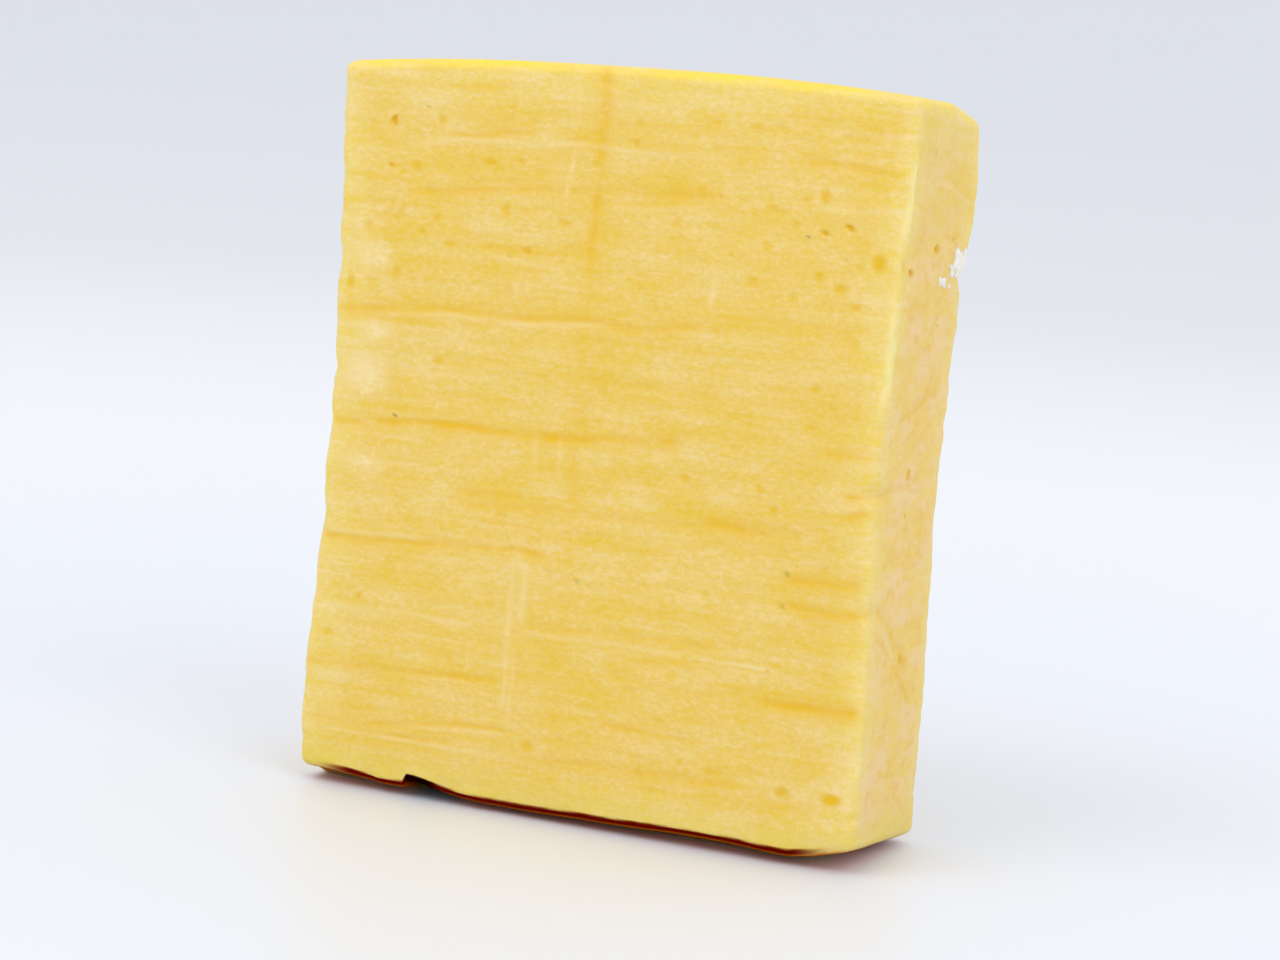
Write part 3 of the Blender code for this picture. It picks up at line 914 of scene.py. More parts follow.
class NodeDesk:
    """A material's node tree, with short ways to add and join its nodes."""

    def __init__(self, material: bpy.types.Material) -> None:
        """Start from an empty tree."""
        material.use_nodes = True
        self.tree = material.node_tree
        self.tree.nodes.clear()

    def node(self, kind: str, **settings: object) -> bpy.types.Node:
        """Add a node.

        Args:
            kind: the node's type.
            settings: its own settings, by name.

        Returns:
            The node.
        """
        made = self.tree.nodes.new(kind)
        for name, value in settings.items():
            setattr(made, name, value)
        return made

    def put(self, socket: Socket, value: object) -> None:
        """Join another node's output to a socket, or set the socket to a value."""
        if isinstance(value, Socket):
            self.tree.links.new(value, socket)
        else:
            socket.default_value = value

    def put_out(self, shader: bpy.types.Node) -> None:
        """Join a shader to the material's output."""
        out = self.node("ShaderNodeOutputMaterial")
        self.put(out.inputs["Surface"], shader.outputs["BSDF"])

    def math(self, operation: str, first: object, second: object = 0.0) -> Socket:
        """The result of one sum.

        Args:
            operation: its name.
            first, second: what it takes.

        Returns:
            Its output.
        """
        made = self.node("ShaderNodeMath", operation=operation)
        self.put(made.inputs[0], first)
        self.put(made.inputs[1], second)
        return made.outputs[0]

    def spread(
        self, value: object, low: float, high: float, to_low: float = 0.0, to_high: float = 1.0
    ) -> Socket:
        """A value carried from one range to another, held inside it.

        Args:
            value: the value.
            low, high: the ends of the first range.
            to_low, to_high: the ends of the second.

        Returns:
            The carried value.
        """
        made = self.node("ShaderNodeMapRange")
        self.put(made.inputs["Value"], value)
        made.inputs["From Min"].default_value = low
        made.inputs["From Max"].default_value = high
        made.inputs["To Min"].default_value = to_low
        made.inputs["To Max"].default_value = to_high
        return made.outputs["Result"]

    def mix(self, share: object, first: object, second: object) -> Socket:
        """A colour between two, by share.

        Args:
            share: how much of the second.
            first, second: the two colours.

        Returns:
            The colour.
        """
        made = self.node("ShaderNodeMix", data_type="RGBA", blend_type="MIX")
        sockets = {socket.identifier: socket for socket in made.inputs}
        self.put(sockets["Factor_Float"], share)
        self.put(sockets["A_Color"], first)
        self.put(sockets["B_Color"], second)
        return next(s for s in made.outputs if s.identifier == "Result_Color")

    def marked(self, colour: Socket, **marks: tuple[float, ...]) -> Socket:
        """A colour with others laid over it in turn, each where its attribute is strong."""
        for name, mark in marks.items():
            colour = self.mix(self.attribute(name), colour, mark)
        return colour

    def blend(self, parts: Iterable[tuple[object, float]]) -> Socket:
        """The sum of some values, each times its share."""
        total = 0.0
        for value, share in parts:
            total = self.math("ADD", self.math("MULTIPLY", value, share), total)
        return total

    def attribute(self, name: str) -> Socket:
        """A number stored on the mesh."""
        return self.node("ShaderNodeAttribute", attribute_name=name).outputs["Fac"]

    def noise(
        self, scale: tuple[float, float, float], detail: float, rough: float, shift: float = 0.0
    ) -> Socket:
        """Noise over the piece's own coordinates.

        Args:
            scale: cells for each millimetre, along x, y and z.
            detail: its number of layers.
            rough: how strong the finer layers are.
            shift: moves the pattern, so that two of them differ.

        Returns:
            The noise's value.
        """
        place = self.node("ShaderNodeTexCoord").outputs["Object"]
        mapping = self.node("ShaderNodeMapping")
        self.put(mapping.inputs["Vector"], place)
        mapping.inputs["Scale"].default_value = tuple(s / METRES for s in scale)
        mapping.inputs["Location"].default_value = (shift, 1.7 * shift, 0.6 * shift)
        made = self.node("ShaderNodeTexNoise")
        self.put(made.inputs["Vector"], mapping.outputs[0])
        made.inputs["Scale"].default_value = 1.0
        made.inputs["Detail"].default_value = detail
        made.inputs["Roughness"].default_value = rough
        return made.outputs["Fac"]


def make_waxy(desk: NodeDesk, shader: bpy.types.Node, finish: object, height: Socket) -> None:
    """Let light into a shader's surface, roughen it, and join it to the material's output.

    Args:
        desk: the material's nodes.
        shader: the shader.
        finish: a finish with depth and relief fields.
        height: the relief's pattern.
    """
    shader.inputs["Subsurface Weight"].default_value = finish.depth
    shader.inputs["Subsurface Radius"].default_value = finish.depth_by_colour
    shader.inputs["Subsurface Scale"].default_value = finish.depth_reach * METRES
    bump = desk.node("ShaderNodeBump")
    bump.inputs["Strength"].default_value = finish.relief
    bump.inputs["Distance"].default_value = finish.relief_height * METRES
    desk.put(bump.inputs["Height"], height)
    desk.put(shader.inputs["Normal"], bump.outputs["Normal"])
    desk.put_out(shader)


@dataclass(frozen=True)
class CheeseFinish:
    """Waxy, slightly translucent cheese: its colours as seen, and its gloss."""

    name: str = "pale_cheddar"
    body: tuple[float, ...] = srgb(236, 203, 103)
    pale: tuple[float, ...] = srgb(240, 211, 138)
    deep: tuple[float, ...] = srgb(235, 197, 66)
    # painted shade: a deeper gold in the fold creases
    fold_shade: tuple[float, ...] = srgb(236, 189, 38)
    rubbed: tuple[float, ...] = srgb(243, 219, 158)
    spotted: tuple[float, ...] = srgb(233, 187, 6)
    hollow: tuple[float, ...] = srgb(232, 178, 0)
    speckled: tuple[float, ...] = srgb(150, 140, 72)
    bloomed: tuple[float, ...] = srgb(243, 220, 158)
    # painted glow: clearer and paler yellows near the edges, for light through the thin edges
    lemon: tuple[float, ...] = srgb(239, 213, 98)
    pale_edge_glow: tuple[float, ...] = srgb(244, 222, 160)
    lowest: tuple[float, ...] = srgb(226, 204, 80)
    golden: tuple[float, ...] = srgb(252, 221, 62)
    # partly wear, partly painted highlight: the pale line along the front's right edge
    pale_wear_and_highlight: tuple[float, ...] = srgb(245, 232, 160)
    peach: tuple[float, ...] = srgb(241, 206, 106)
    rosy: tuple[float, ...] = srgb(243, 207, 142)
    tawny: tuple[float, ...] = srgb(239, 193, 88)
    # painted glow: deep orange on the lifted underside and the lip, for the warm light in the
    # shaded gap
    sole: tuple[float, ...] = srgb(196, 96, 0)
    # painted shade: dark maroon on the lip and in the chip, for the shadowed gap under the block
    painted_gap_shade: tuple[float, ...] = srgb(100, 6, 0)
    # painted shadow: nearly black in the deep hollow of the chip
    painted_pit_shadow: tuple[float, ...] = srgb(22, 2, 0)
    streak_scale: tuple[float, float, float] = (0.05, 0.05, 0.8)
    cloud_scale: tuple[float, float, float] = (0.15, 0.15, 0.24)
    mottle_scale: tuple[float, float, float] = (0.42, 0.17, 0.36)
    fleck_scale: tuple[float, float, float] = (0.9, 0.34, 0.75)
    fine_scale: tuple[float, float, float] = (1.0, 1.0, 1.8)
    grain_scale: tuple[float, float, float] = (3.2, 3.2, 4.2)
    crumple_scale: tuple[float, float, float] = (0.9, 0.9, 0.8)
    tone_shares: tuple[float, float, float, float] = (0.24, 0.23, 0.37, 0.16)
    ragged_shares: tuple[float, float, float] = (0.5, 0.4, 0.9)
    ragged_span: tuple[float, float] = (0.77, 1.12)
    deep_span: tuple[float, float] = (0.50, 0.605)
    pale_span: tuple[float, float] = (0.50, 0.395)
    rosy_span: tuple[float, float] = (0.42, 0.58)
    tawny_span: tuple[float, float] = (0.50, 0.68)
    tawny_most: float = 0.8
    lemon_span: tuple[float, float] = (0.40, 0.58)
    powder_span: tuple[float, float] = (0.0, 0.3)
    grain_span: tuple[float, float] = (0.3, 0.7)
    roughness: tuple[float, float] = (0.42, 0.58)
    shine: float = 0.35
    depth: float = 0.30
    depth_by_colour: tuple[float, float, float] = (1.0, 0.55, 0.18)
    depth_reach: float = 1.6
    relief: float = 0.48
    relief_height: float = 0.16
    relief_shares: tuple[float, float, float] = (0.5, 0.25, 1.6)

    def colour(self, desk: NodeDesk, fine: object, grain: object) -> Socket:
        """The cheese's colour all over.

        Args:
            desk: the material's nodes.
            fine: thin level streaks.
            grain: the finest unevenness.

        Returns:
            The colour.
        """
        streaks = desk.noise(self.streak_scale, 3.0, 0.55)
        clouds = desk.noise(self.cloud_scale, 3.0, 0.50, 9.0)
        tone = desk.blend(zip((clouds, streaks, fine, grain), self.tone_shares))
        colour = desk.mix(desk.spread(tone, *self.deep_span), self.body, self.deep)
        colour = desk.mix(desk.spread(tone, *self.pale_span), colour, self.pale)
        mottle = desk.noise(self.mottle_scale, 4.0, 0.62, 13.0)
        flecks = desk.noise(self.fleck_scale, 3.0, 0.60, 21.0)
        side = desk.mix(desk.spread(mottle, *self.rosy_span), self.peach, self.rosy)
        tawny = desk.spread(flecks, *self.tawny_span, 0.0, self.tawny_most)
        side = desk.mix(tawny, side, self.tawny)
        colour = desk.mix(desk.attribute("flank"), colour, side)
        # painted glow near the edges
        rim = desk.mix(desk.spread(tone, *self.lemon_span), self.pale_edge_glow, self.lemon)
        colour = desk.mix(desk.attribute("rim"), colour, rim)
        colour = desk.marked(
            colour,
            low=self.lowest,
            gold=self.golden,
            # painted crease shade along the folds
            fold=self.fold_shade,
            spot=self.spotted,
        )
        bloom = desk.attribute("bloom")
        ragged = desk.blend(zip((bloom, clouds, fine), self.ragged_shares))
        ragged = desk.spread(ragged, *self.ragged_span)
        powder = desk.math("MULTIPLY", desk.spread(bloom, *self.powder_span), ragged)
        colour = desk.mix(powder, colour, self.bloomed)
        return desk.marked(
            colour,
            rub=self.rubbed,
            # pale line on the right edge: wear and painted highlight
            wear=self.pale_wear_and_highlight,
            eye=self.hollow,
            speck=self.speckled,
            # painted warm glow on the lifted underside and the lip
            sole=self.sole,
            # painted shade of the gap under the lifted front edge
            foot=self.painted_gap_shade,
            # painted shadow in the chip's deep hollow
            pit=self.painted_pit_shadow,
        )

    def material(self) -> bpy.types.Material:
        """The cheese's material.

        Returns:
            A material that reads the block's own attributes.
        """
        made = bpy.data.materials.new(self.name)
        desk = NodeDesk(made)
        fine = desk.noise(self.fine_scale, 3.0, 0.65, 4.0)
        grain = desk.noise(self.grain_scale, 2.0, 0.60, 2.0)
        crumple = desk.noise(self.crumple_scale, 4.0, 0.60, 6.0)
        shader = desk.node("ShaderNodeBsdfPrincipled")
        desk.put(shader.inputs["Base Color"], self.colour(desk, fine, grain))
        gloss = desk.spread(grain, *self.grain_span, *self.roughness)
        desk.put(shader.inputs["Roughness"], gloss)
        dull = desk.spread(desk.attribute("sole"), 0.0, 1.0, self.shine, 0.0)
        desk.put(shader.inputs["Specular IOR Level"], dull)
        crumpled = desk.math("MULTIPLY", crumple, desk.attribute("flank"))
        relief = desk.blend(zip((fine, grain, crumpled), self.relief_shares))
        make_waxy(desk, shader, self, relief)
        return made


@dataclass(frozen=True)
class CrumbFinish:
    """Soft white crumbs."""

    name: str = "white_crumb"
    body: tuple[float, ...] = srgb(247, 243, 236)
    cream: tuple[float, ...] = srgb(243, 230, 208)
    grain_scale: tuple[float, float, float] = (1.4, 1.4, 1.4)
    cream_span: tuple[float, float] = (0.4, 0.65)
    grain_span: tuple[float, float] = (0.3, 0.7)
    roughness: tuple[float, float] = (0.55, 0.75)
    depth: float = 0.4
    depth_by_colour: tuple[float, float, float] = (1.0, 0.8, 0.6)
    depth_reach: float = 1.0
    relief: float = 0.4
    relief_height: float = 0.1

    def material(self) -> bpy.types.Material:
        """The crumbs' material.

        Returns:
            A material of cream-flecked white.
        """
        made = bpy.data.materials.new(self.name)
        desk = NodeDesk(made)
        grain = desk.noise(self.grain_scale, 3.0, 0.6)
        shader = desk.node("ShaderNodeBsdfPrincipled")
        colour = desk.mix(desk.spread(grain, *self.cream_span), self.body, self.cream)
        desk.put(shader.inputs["Base Color"], colour)
        gloss = desk.spread(grain, *self.grain_span, *self.roughness)
        desk.put(shader.inputs["Roughness"], gloss)
        make_waxy(desk, shader, self, grain)
        return made


def mesh_from(bm: bmesh.types.BMesh, name: str) -> bpy.types.Mesh:
    """A new mesh from a bmesh, which is freed.

    Args:
        bm: the bmesh.
        name: the mesh's name.

    Returns:
        The mesh.
    """
    mesh = bpy.data.meshes.new(name)
    bm.to_mesh(mesh)
    bm.free()
    return mesh


def points_of(mesh: bpy.types.Mesh) -> Array:
    """A mesh's points, one row each."""
    points = np.empty(len(mesh.vertices) * 3, np.float32)
    mesh.vertices.foreach_get("co", points)
    return points.reshape(-1, 3).astype(float)


def put_points(mesh: bpy.types.Mesh, places: Array) -> None:
    """Give a mesh its points, from the slab's millimetres."""
    mesh.vertices.foreach_set("co", placed(places).astype(np.float32).ravel())
    mesh.update()


def placed(places: Array) -> Array:
    """Points from the slab's millimetres to the frame's metres."""
    shift = np.array((BOX_MIDDLE[0], BOX_MIDDLE[1], 0.0))
    return (places - shift) * METRES


def show(mesh: bpy.types.Mesh, name: str, material: bpy.types.Material) -> bpy.types.Object:
    """Put a finished mesh in the scene, at the origin.

    Args:
        mesh: the mesh.
        name: its object's name.
        material: its finish.

    Returns:
        The object.
    """
    mesh.materials.append(material)
    mesh.shade_smooth()
    made = bpy.data.objects.new(name, mesh)
    bpy.context.scene.collection.objects.link(made)
    return made


# Places far apart on one weave, so that its uses along an upright edge differ
WANDER_PLACE = 0.0
FLANK_PLACE = 20.0
BREAKS_PLACE = 40.0
KNOBBLY_PLACE = 60.0
WIDTH_PLACE = 80.0


@dataclass
class CheeseBlock:
    """The block itself, as one fine mesh."""

    name: str = "cheddar_skin"
    form: PressedForm = field(default_factory=PressedForm)
    marks: dict[Side, SideMarks] = field(default_factory=all_marks)
    finish: CheeseFinish = field(default_factory=CheeseFinish)
    refinements: int = 2
    refined_margin: float = 0.3
    knobbly_reach: float = 3.0
    knobbly_height: float = 0.55
    flank_waver: float = 1.8
    flank_border: tuple[float, float] = (HALF_DEEP - 2.2, HALF_DEEP - 0.4)
    flank_fading: tuple[float, float] = (78.0, 92.0)
    flank_fade: float = 0.6
    flank_top: tuple[float, float] = (HEIGHT - 5.0, HEIGHT)
    flank_top_fade: float = 0.7
    # The rim's painted glow: how far in it reaches, how much that wavers, and its strength
    rim_reach: float = 6.5
    rim_waver: float = 4.0
    rim_strength: float = 0.8
    gold_mean: float = 0.62
    gold_top: tuple[float, float] = (HEIGHT - 2.0, HEIGHT - 0.3)
    gold_swollen: float = 0.85
    gold_back: float = 0.4
    swollen_from: tuple[float, float] = (80.0, 86.0)
    swollen_wide: tuple[float, float] = (HALF_WIDE - 5.0, HALF_WIDE)
    swollen_deep: tuple[float, float] = (HALF_DEEP - 4.5, HALF_DEEP - 1.0)
    back_wide: tuple[float, float] = (HALF_WIDE - 2.0, HALF_WIDE)
    back_deep: tuple[float, float] = (HALF_DEEP - 1.5, HALF_DEEP)
    # The pale line along the front's right edge: partly real wear, partly a painted highlight of
    # the rounded edge
    wear_waver: float = 1.4
    wear_turn: float = 0.9
    wear_turn_span: tuple[float, float] = (82.0, 98.0)
    wear_half: float = 0.5
    wear_uneven: float = 0.25
    wear_breaks: float = 2.2
    wear_break_length: float = 0.7
    wear_least: float = 0.25
    wear_strength: float = 0.8
    wear_humps: tuple[tuple[float, float], ...] = ((91.0, 11.0), (69.0, 10.0))
    low_strength: float = 0.42
    low_span: tuple[float, float] = (1.0, 7.0)
    lifted_span: tuple[float, float] = (8.0, 4.0)
    lip_waver: float = 0.15
    lip_heights: tuple[float, float] = (1.0, 1.2)
    lip_depths: tuple[float, float] = (HALF_DEEP - 3.5, HALF_DEEP - 1.6)
    lip_start: tuple[float, float] = (3.0 - HALF_WIDE, 9.0 - HALF_WIDE)
    lip_end: tuple[float, float] = (34.0, 40.0)
    # Where the underside's painted warm glow fades out in height
    sole_heights: tuple[float, float] = (0.05, 0.35)
    # Painted shade on the lip and in the chip: where it starts and stops in height, and the chip
    # depth at which it is full
    shade_start: tuple[float, float] = (0.05, 0.5)
    shade_heights: tuple[float, float] = (0.4, 0.6)
    shaded_chip_depth: float = 0.3
    # Painted shadow in the chip's hollow: the heights where it stops, and the chip depths where it
    # comes in
    pit_heights: tuple[float, float] = (1.1, 1.3)
    pit_depths: tuple[float, float] = (0.35, 0.7)

    def __post_init__(self) -> None:
        """Draw the unevenness of the rim's painted glow and of the pale line on the right edge."""
        self.rim_waves = layered(51, 9.0, 7.0, 3, 0.6)
        self.wear_waves = layered(61, 9.0, 9.0, 4, 0.7)

    def upright_waves(self, place: float, z: Array) -> Array:
        """The unevenness along one upright line of the edge weave."""
        return blended(self.wear_waves, np.full_like(z, place), z)

    @staticmethod
    def cut_edges(bm: bmesh.types.BMesh, edges: Iterable[bmesh.types.BMEdge], cuts: int) -> None:
        """Cut edges into equal lengths, with new edges across the faces between them."""
        bmesh.ops.subdivide_edges(bm, edges=list(edges), cuts=cuts, use_grid_fill=True)

    def plain_slab(self) -> bmesh.types.BMesh:
        """A sharp slab cut into even cells, finer on the two sides that are seen.

        Returns:
            The slab.
        """
        bm = bmesh.new()
        bmesh.ops.create_cube(bm, size=1.0)
        bmesh.ops.scale(bm, vec=Vector((WIDTH, DEPTH, HEIGHT)), verts=bm.verts)
        bmesh.ops.translate(bm, vec=Vector((0.0, 0.0, 0.5 * HEIGHT)), verts=bm.verts)
        for axis, length in enumerate((WIDTH, DEPTH, HEIGHT)):
            running = [e for e in bm.edges if self.runs_along(e, axis)]
            self.cut_edges(bm, running, round(length / CELLS[axis]) - 1)
        bm.normal_update()
        seen = [f for f in bm.faces if f.normal.y < -0.5 or f.normal.x > 0.5]
        self.cut_edges(bm, {e for f in seen for e in f.edges}, 1)
        for level in range(self.refinements):
            self.refine(bm, level)
        return bm

    @staticmethod
    def runs_along(edge: bmesh.types.BMEdge, axis: int) -> bool:
        """Whether an edge of the sharp slab runs along an axis."""
        run = edge.verts[1].co - edge.verts[0].co
        return abs(run[axis]) > 0.5 * run.length

    def refine(self, bm: bmesh.types.BMesh, level: int) -> None:
        """Halve the faces at the eyes and the upright streaks, and once more at the eyes alone.

        Args:
            bm: the sharp slab.
            level: 0 for the first pass, 1 for the second.
        """
        bm.normal_update()
        faces = list(bm.faces)
        centres = np.array([f.calc_center_median() for f in faces])
        normals = np.array([f.normal for f in faces])
        picked = np.zeros(len(faces), bool)
        sides = ((Side.FRONT, 0, normals[:, 1] < -0.5), (Side.RIGHT, 1, normals[:, 0] > 0.5))
        for side, column, facing in sides:
            along, up = centres[:, column], centres[:, 2] - FOOT_LINE
            for eye in self.marks[side].eyes:
                within = min(eye.half) + self.refined_margin
                picked |= facing & (eye.reach(along, up) * min(eye.half) < within)
            if side is Side.FRONT and level == 0:
                for line in FRONT_UPRIGHT_RUBS:
                    picked |= facing & (line.shade(along, up, 2.0) > 0.3 * line.strength)
        near = [f for f, p in zip(faces, picked) if p]
        self.cut_edges(bm, {e for f in near for e in f.edges}, 1)

    @staticmethod
    def crowded(places: Array) -> Array:
        """The slab's points moved outwards a little, so that the edges get finer cells.

        Args:
            places: points on the sharp slab, one row each.

        Returns:
            The moved points, still on the sharp slab.
        """
        middle = np.array((0.0, 0.0, 0.5 * HEIGHT))
        half = np.array((HALF_WIDE, HALF_DEEP, 0.5 * HEIGHT))
        share = (places - middle) / half
        return middle + half * ((1.0 + CROWDING) * share - CROWDING * share * np.abs(share))

    @staticmethod
    def faced(x: Array, y: Array) -> tuple[tuple[Side, Array, int, float, Array], ...]:
        """How the points lie on each upright side.

        Args:
            x, y: the points on the rounded slab.

        Returns:
            For each side: itself, the places along it, the axis across it, the way in, and
            a share that is 1 on its face.
        """
        return (
            (Side.FRONT, x, 1, 1.0, near_face(-y, HALF_DEEP)),
            (Side.BACK, x, 1, -1.0, near_face(y, HALF_DEEP)),
            (Side.LEFT, y, 0, 1.0, near_face(-x, HALF_WIDE)),
            (Side.RIGHT, y, 0, -1.0, near_face(x, HALF_WIDE)),
        )

    def pressed(self, slab: Array, shaped: Array) -> Array:
        """The shaped points with every side's marks pressed in.

        Args:
            slab: the points on the rounded slab.
            shaped: the same points in the squeezed form.

        Returns:
            The finished points.
        """
        x, y, z = slab.T
        up = z - FOOT_LINE
        moved = shaped.copy()
        for side, along, axis, inward, share in self.faced(x, y):
            on = share > 0.0
            moved[on, axis] += inward * share[on] * self.marks[side].pressed(along[on], up[on])
        near = np.clip(1.0 - self.edge_distances(x, y, z) / self.knobbly_reach, 0.0, 1.0)
        knobbly = self.knobbly_height * near * blended(self.wear_waves, KNOBBLY_PLACE + 2.0 * x, z)
        moved[:, 0] += knobbly * x / HALF_WIDE
        moved[:, 1] += knobbly * y / HALF_DEEP
        return moved

    def tones(self, slab: Array) -> dict[str, Array]:
        """The numbers that the material reads, for each point.

        Args:
            slab: the points on the rounded slab.

        Returns:
            Arrays by the names of the attributes.
        """
        x, y, z = slab.T
        up = z - FOOT_LINE
        tones = {k: np.zeros(len(slab)) for k in ("fold", "rub", "eye", "spot", "speck", "bloom")}
        for side, along, _, _, share in self.faced(x, y):
            on = share > 0.0
            for name, value in self.marks[side].tones(along[on], up[on]).items():
                tones[name][on] = np.maximum(tones[name][on], share[on] * value)
        for name in ("flank", "rim", "low", "gold", "wear", "sole", "foot", "pit"):
            tones[name] = getattr(self, name)(x, y, z)
        return tones

    def flank(self, x: Array, y: Array, z: Array) -> Array:
        """1 on the two narrow upright ends, which are more peach.

        Args:
            x, y, z: the points on the rounded slab.

        Returns:
            Values from 0 to 1.
        """
        ends = np.maximum(near_face(x, HALF_WIDE), near_face(-x, HALF_WIDE))
        wavering = self.flank_waver * self.upright_waves(FLANK_PLACE, z)
        off_edges = 1.0 - ramp(np.abs(y) + wavering, *self.flank_border)
        fading = 1.0 - self.flank_fade * ramp(z, *self.flank_fading)
        below_top = 1.0 - self.flank_top_fade * ramp(z, *self.flank_top)
        return ends * off_edges * fading * below_top

    @staticmethod
    def edge_distances(x: Array, y: Array, z: Array) -> Array:
        """How far each point lies from the nearest edge of the slab."""
        off = [HALF_WIDE - np.abs(x), HALF_DEEP - np.abs(y), np.minimum(z, HEIGHT - z)]
        return np.sort(np.stack(off), axis=0)[1]

    def rim(self, x: Array, y: Array, z: Array) -> Array:
        """How near each point lies to an edge, where a clearer, paler yellow is painted as the glow
        of light through the thin edges.

        Args:
            x, y, z: the points on the rounded slab.

        Returns:
            Values from 0 to the rim's strength.
        """
        uneven = blended(self.rim_waves, x + 3.0 * y, z)
        reach = self.rim_reach + self.rim_waver * uneven
        nearness = np.clip(1.0 - self.edge_distances(x, y, z) / reach, 0.0, 1.0)
        return self.rim_strength * nearness

    def gold(self, x: Array, y: Array, z: Array) -> Array:
        """How golden each point is: the top, and the back of the swollen corner.

        Args:
            x, y, z: the points on the rounded slab.

        Returns:
            Values from 0 to 1.
        """
        patchy = np.clip(self.gold_mean + blended(self.rim_waves, 0.8 * x, 4.0 * y), 0.0, 1.0)
        on_top = ramp(z, *self.gold_top)
        corner = ramp(x, *self.swollen_wide) * ramp(y, *self.swollen_deep)
        swollen = corner * ramp(z, *self.swollen_from)
        down_back = ramp(y, *self.back_deep) * ramp(x, *self.back_wide)
        strongest = np.maximum(on_top, self.gold_swollen * swollen)
        strongest = np.maximum(strongest, self.gold_back * down_back)
        return np.clip(strongest * patchy, 0.0, 1.0)

    def wear(self, x: Array, y: Array, z: Array) -> Array:
        """How pale each point is on a broken line along the front's right edge: partly wear, partly
        a painted highlight of the rounded edge.

        Args:
            x, y, z: the points on the rounded slab.

        Returns:
            Values from 0 to the worn line's strength.
        """
        wander = self.wear_waver * self.upright_waves(WANDER_PLACE, z)
        wander = wander - self.wear_turn * ramp(z, *self.wear_turn_span)
        off_edge = np.where(y < -HALF_DEEP + EDGE_RADIUS, HALF_WIDE - x, -HALF_DEEP - y)
        wide = self.wear_half + self.wear_uneven * self.upright_waves(WIDTH_PLACE, z)
        seen = np.maximum(near_face(-y, HALF_DEEP), near_face(x, HALF_WIDE))
        line = seen * np.exp(-(((off_edge - self.wear_half - wander) / wide) ** 2))
        uneven = self.upright_waves(BREAKS_PLACE, self.wear_break_length * z)
        breaks = np.clip(0.5 + self.wear_breaks * uneven, 0.0, 1.0)
        strongest = self.wear_least + sum(hump(z, *place) for place in self.wear_humps)
        return self.wear_strength * line * breaks * np.clip(strongest, 0.0, 1.0)

    def low(self, x: Array, y: Array, z: Array) -> Array:
        """How near each point lies to the foot, where less light gets to it."""
        return self.low_strength * (1.0 - ramp(z, *self.low_span))

    def lifted(self, x: Array, y: Array) -> Array:
        """1 under the front and right edges, where the underside stands off the surface."""
        start, full = self.lifted_span
        front = ramp(-y, HALF_DEEP - start, HALF_DEEP - full)
        return np.maximum(front, ramp(x, HALF_WIDE - start, HALF_WIDE - full))

    def lip(self, x: Array, y: Array, z: Array) -> Array:
        """1 on the underside of the lower front edge, which rounds in under the block."""
        uneven = z + self.lip_waver * blended(self.rim_waves, 2.0 * x, np.zeros_like(z))
        front = ramp(-y, *self.lip_depths) * (1.0 - ramp(x, *self.lip_end))
        return (1.0 - ramp(uneven, *self.lip_heights)) * front * ramp(x, *self.lip_start)

    def sole(self, x: Array, y: Array, z: Array) -> Array:
        """1 on the lifted part of the underside and on the lip, painted a deep orange as the warm
        glow in the shaded gap beneath.
        """
        underneath = (1.0 - ramp(z, *self.sole_heights)) * self.lifted(x, y)
        return np.maximum(underneath, self.lip(x, y, z))

    def foot(self, x: Array, y: Array, z: Array) -> Array:
        """1 where the lip starts and in the hollow of the chip, where a dark maroon painted shade
        stands for the shadowed gap under the lifted front edge.
        """
        chipped = np.clip(self.form.chip(x, y) / self.shaded_chip_depth, 0.0, 1.0)
        chipped = (1.0 - ramp(z, *self.shade_heights)) * chipped
        return np.maximum(self.lip(x, y, z) * ramp(z, *self.shade_start), chipped)

    def pit(self, x: Array, y: Array, z: Array) -> Array:
        """1 in the deeper half of the chip and its hollow, painted nearly black as the shadow
        inside it.
        """
        return (1.0 - ramp(z, *self.pit_heights)) * ramp(self.form.chip(x, y), *self.pit_depths)

    def build(self) -> bpy.types.Object:
        """Make the block.

        Returns:
            Its object, which replaces the solid.
        """
        mesh = mesh_from(self.plain_slab(), self.name)
        slab = self.form.rounded(self.crowded(points_of(mesh)))
        put_points(mesh, self.pressed(slab, self.form.squeezed(slab)))
        for name, values in self.tones(slab).items():
            attribute = mesh.attributes.new(name, "FLOAT", "POINT")
            attribute.data.foreach_set("value", values.astype(np.float32))
        made = show(mesh, self.name, self.finish.material())
        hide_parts(CHEESE_NODE)
        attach(made, "root")
        return made


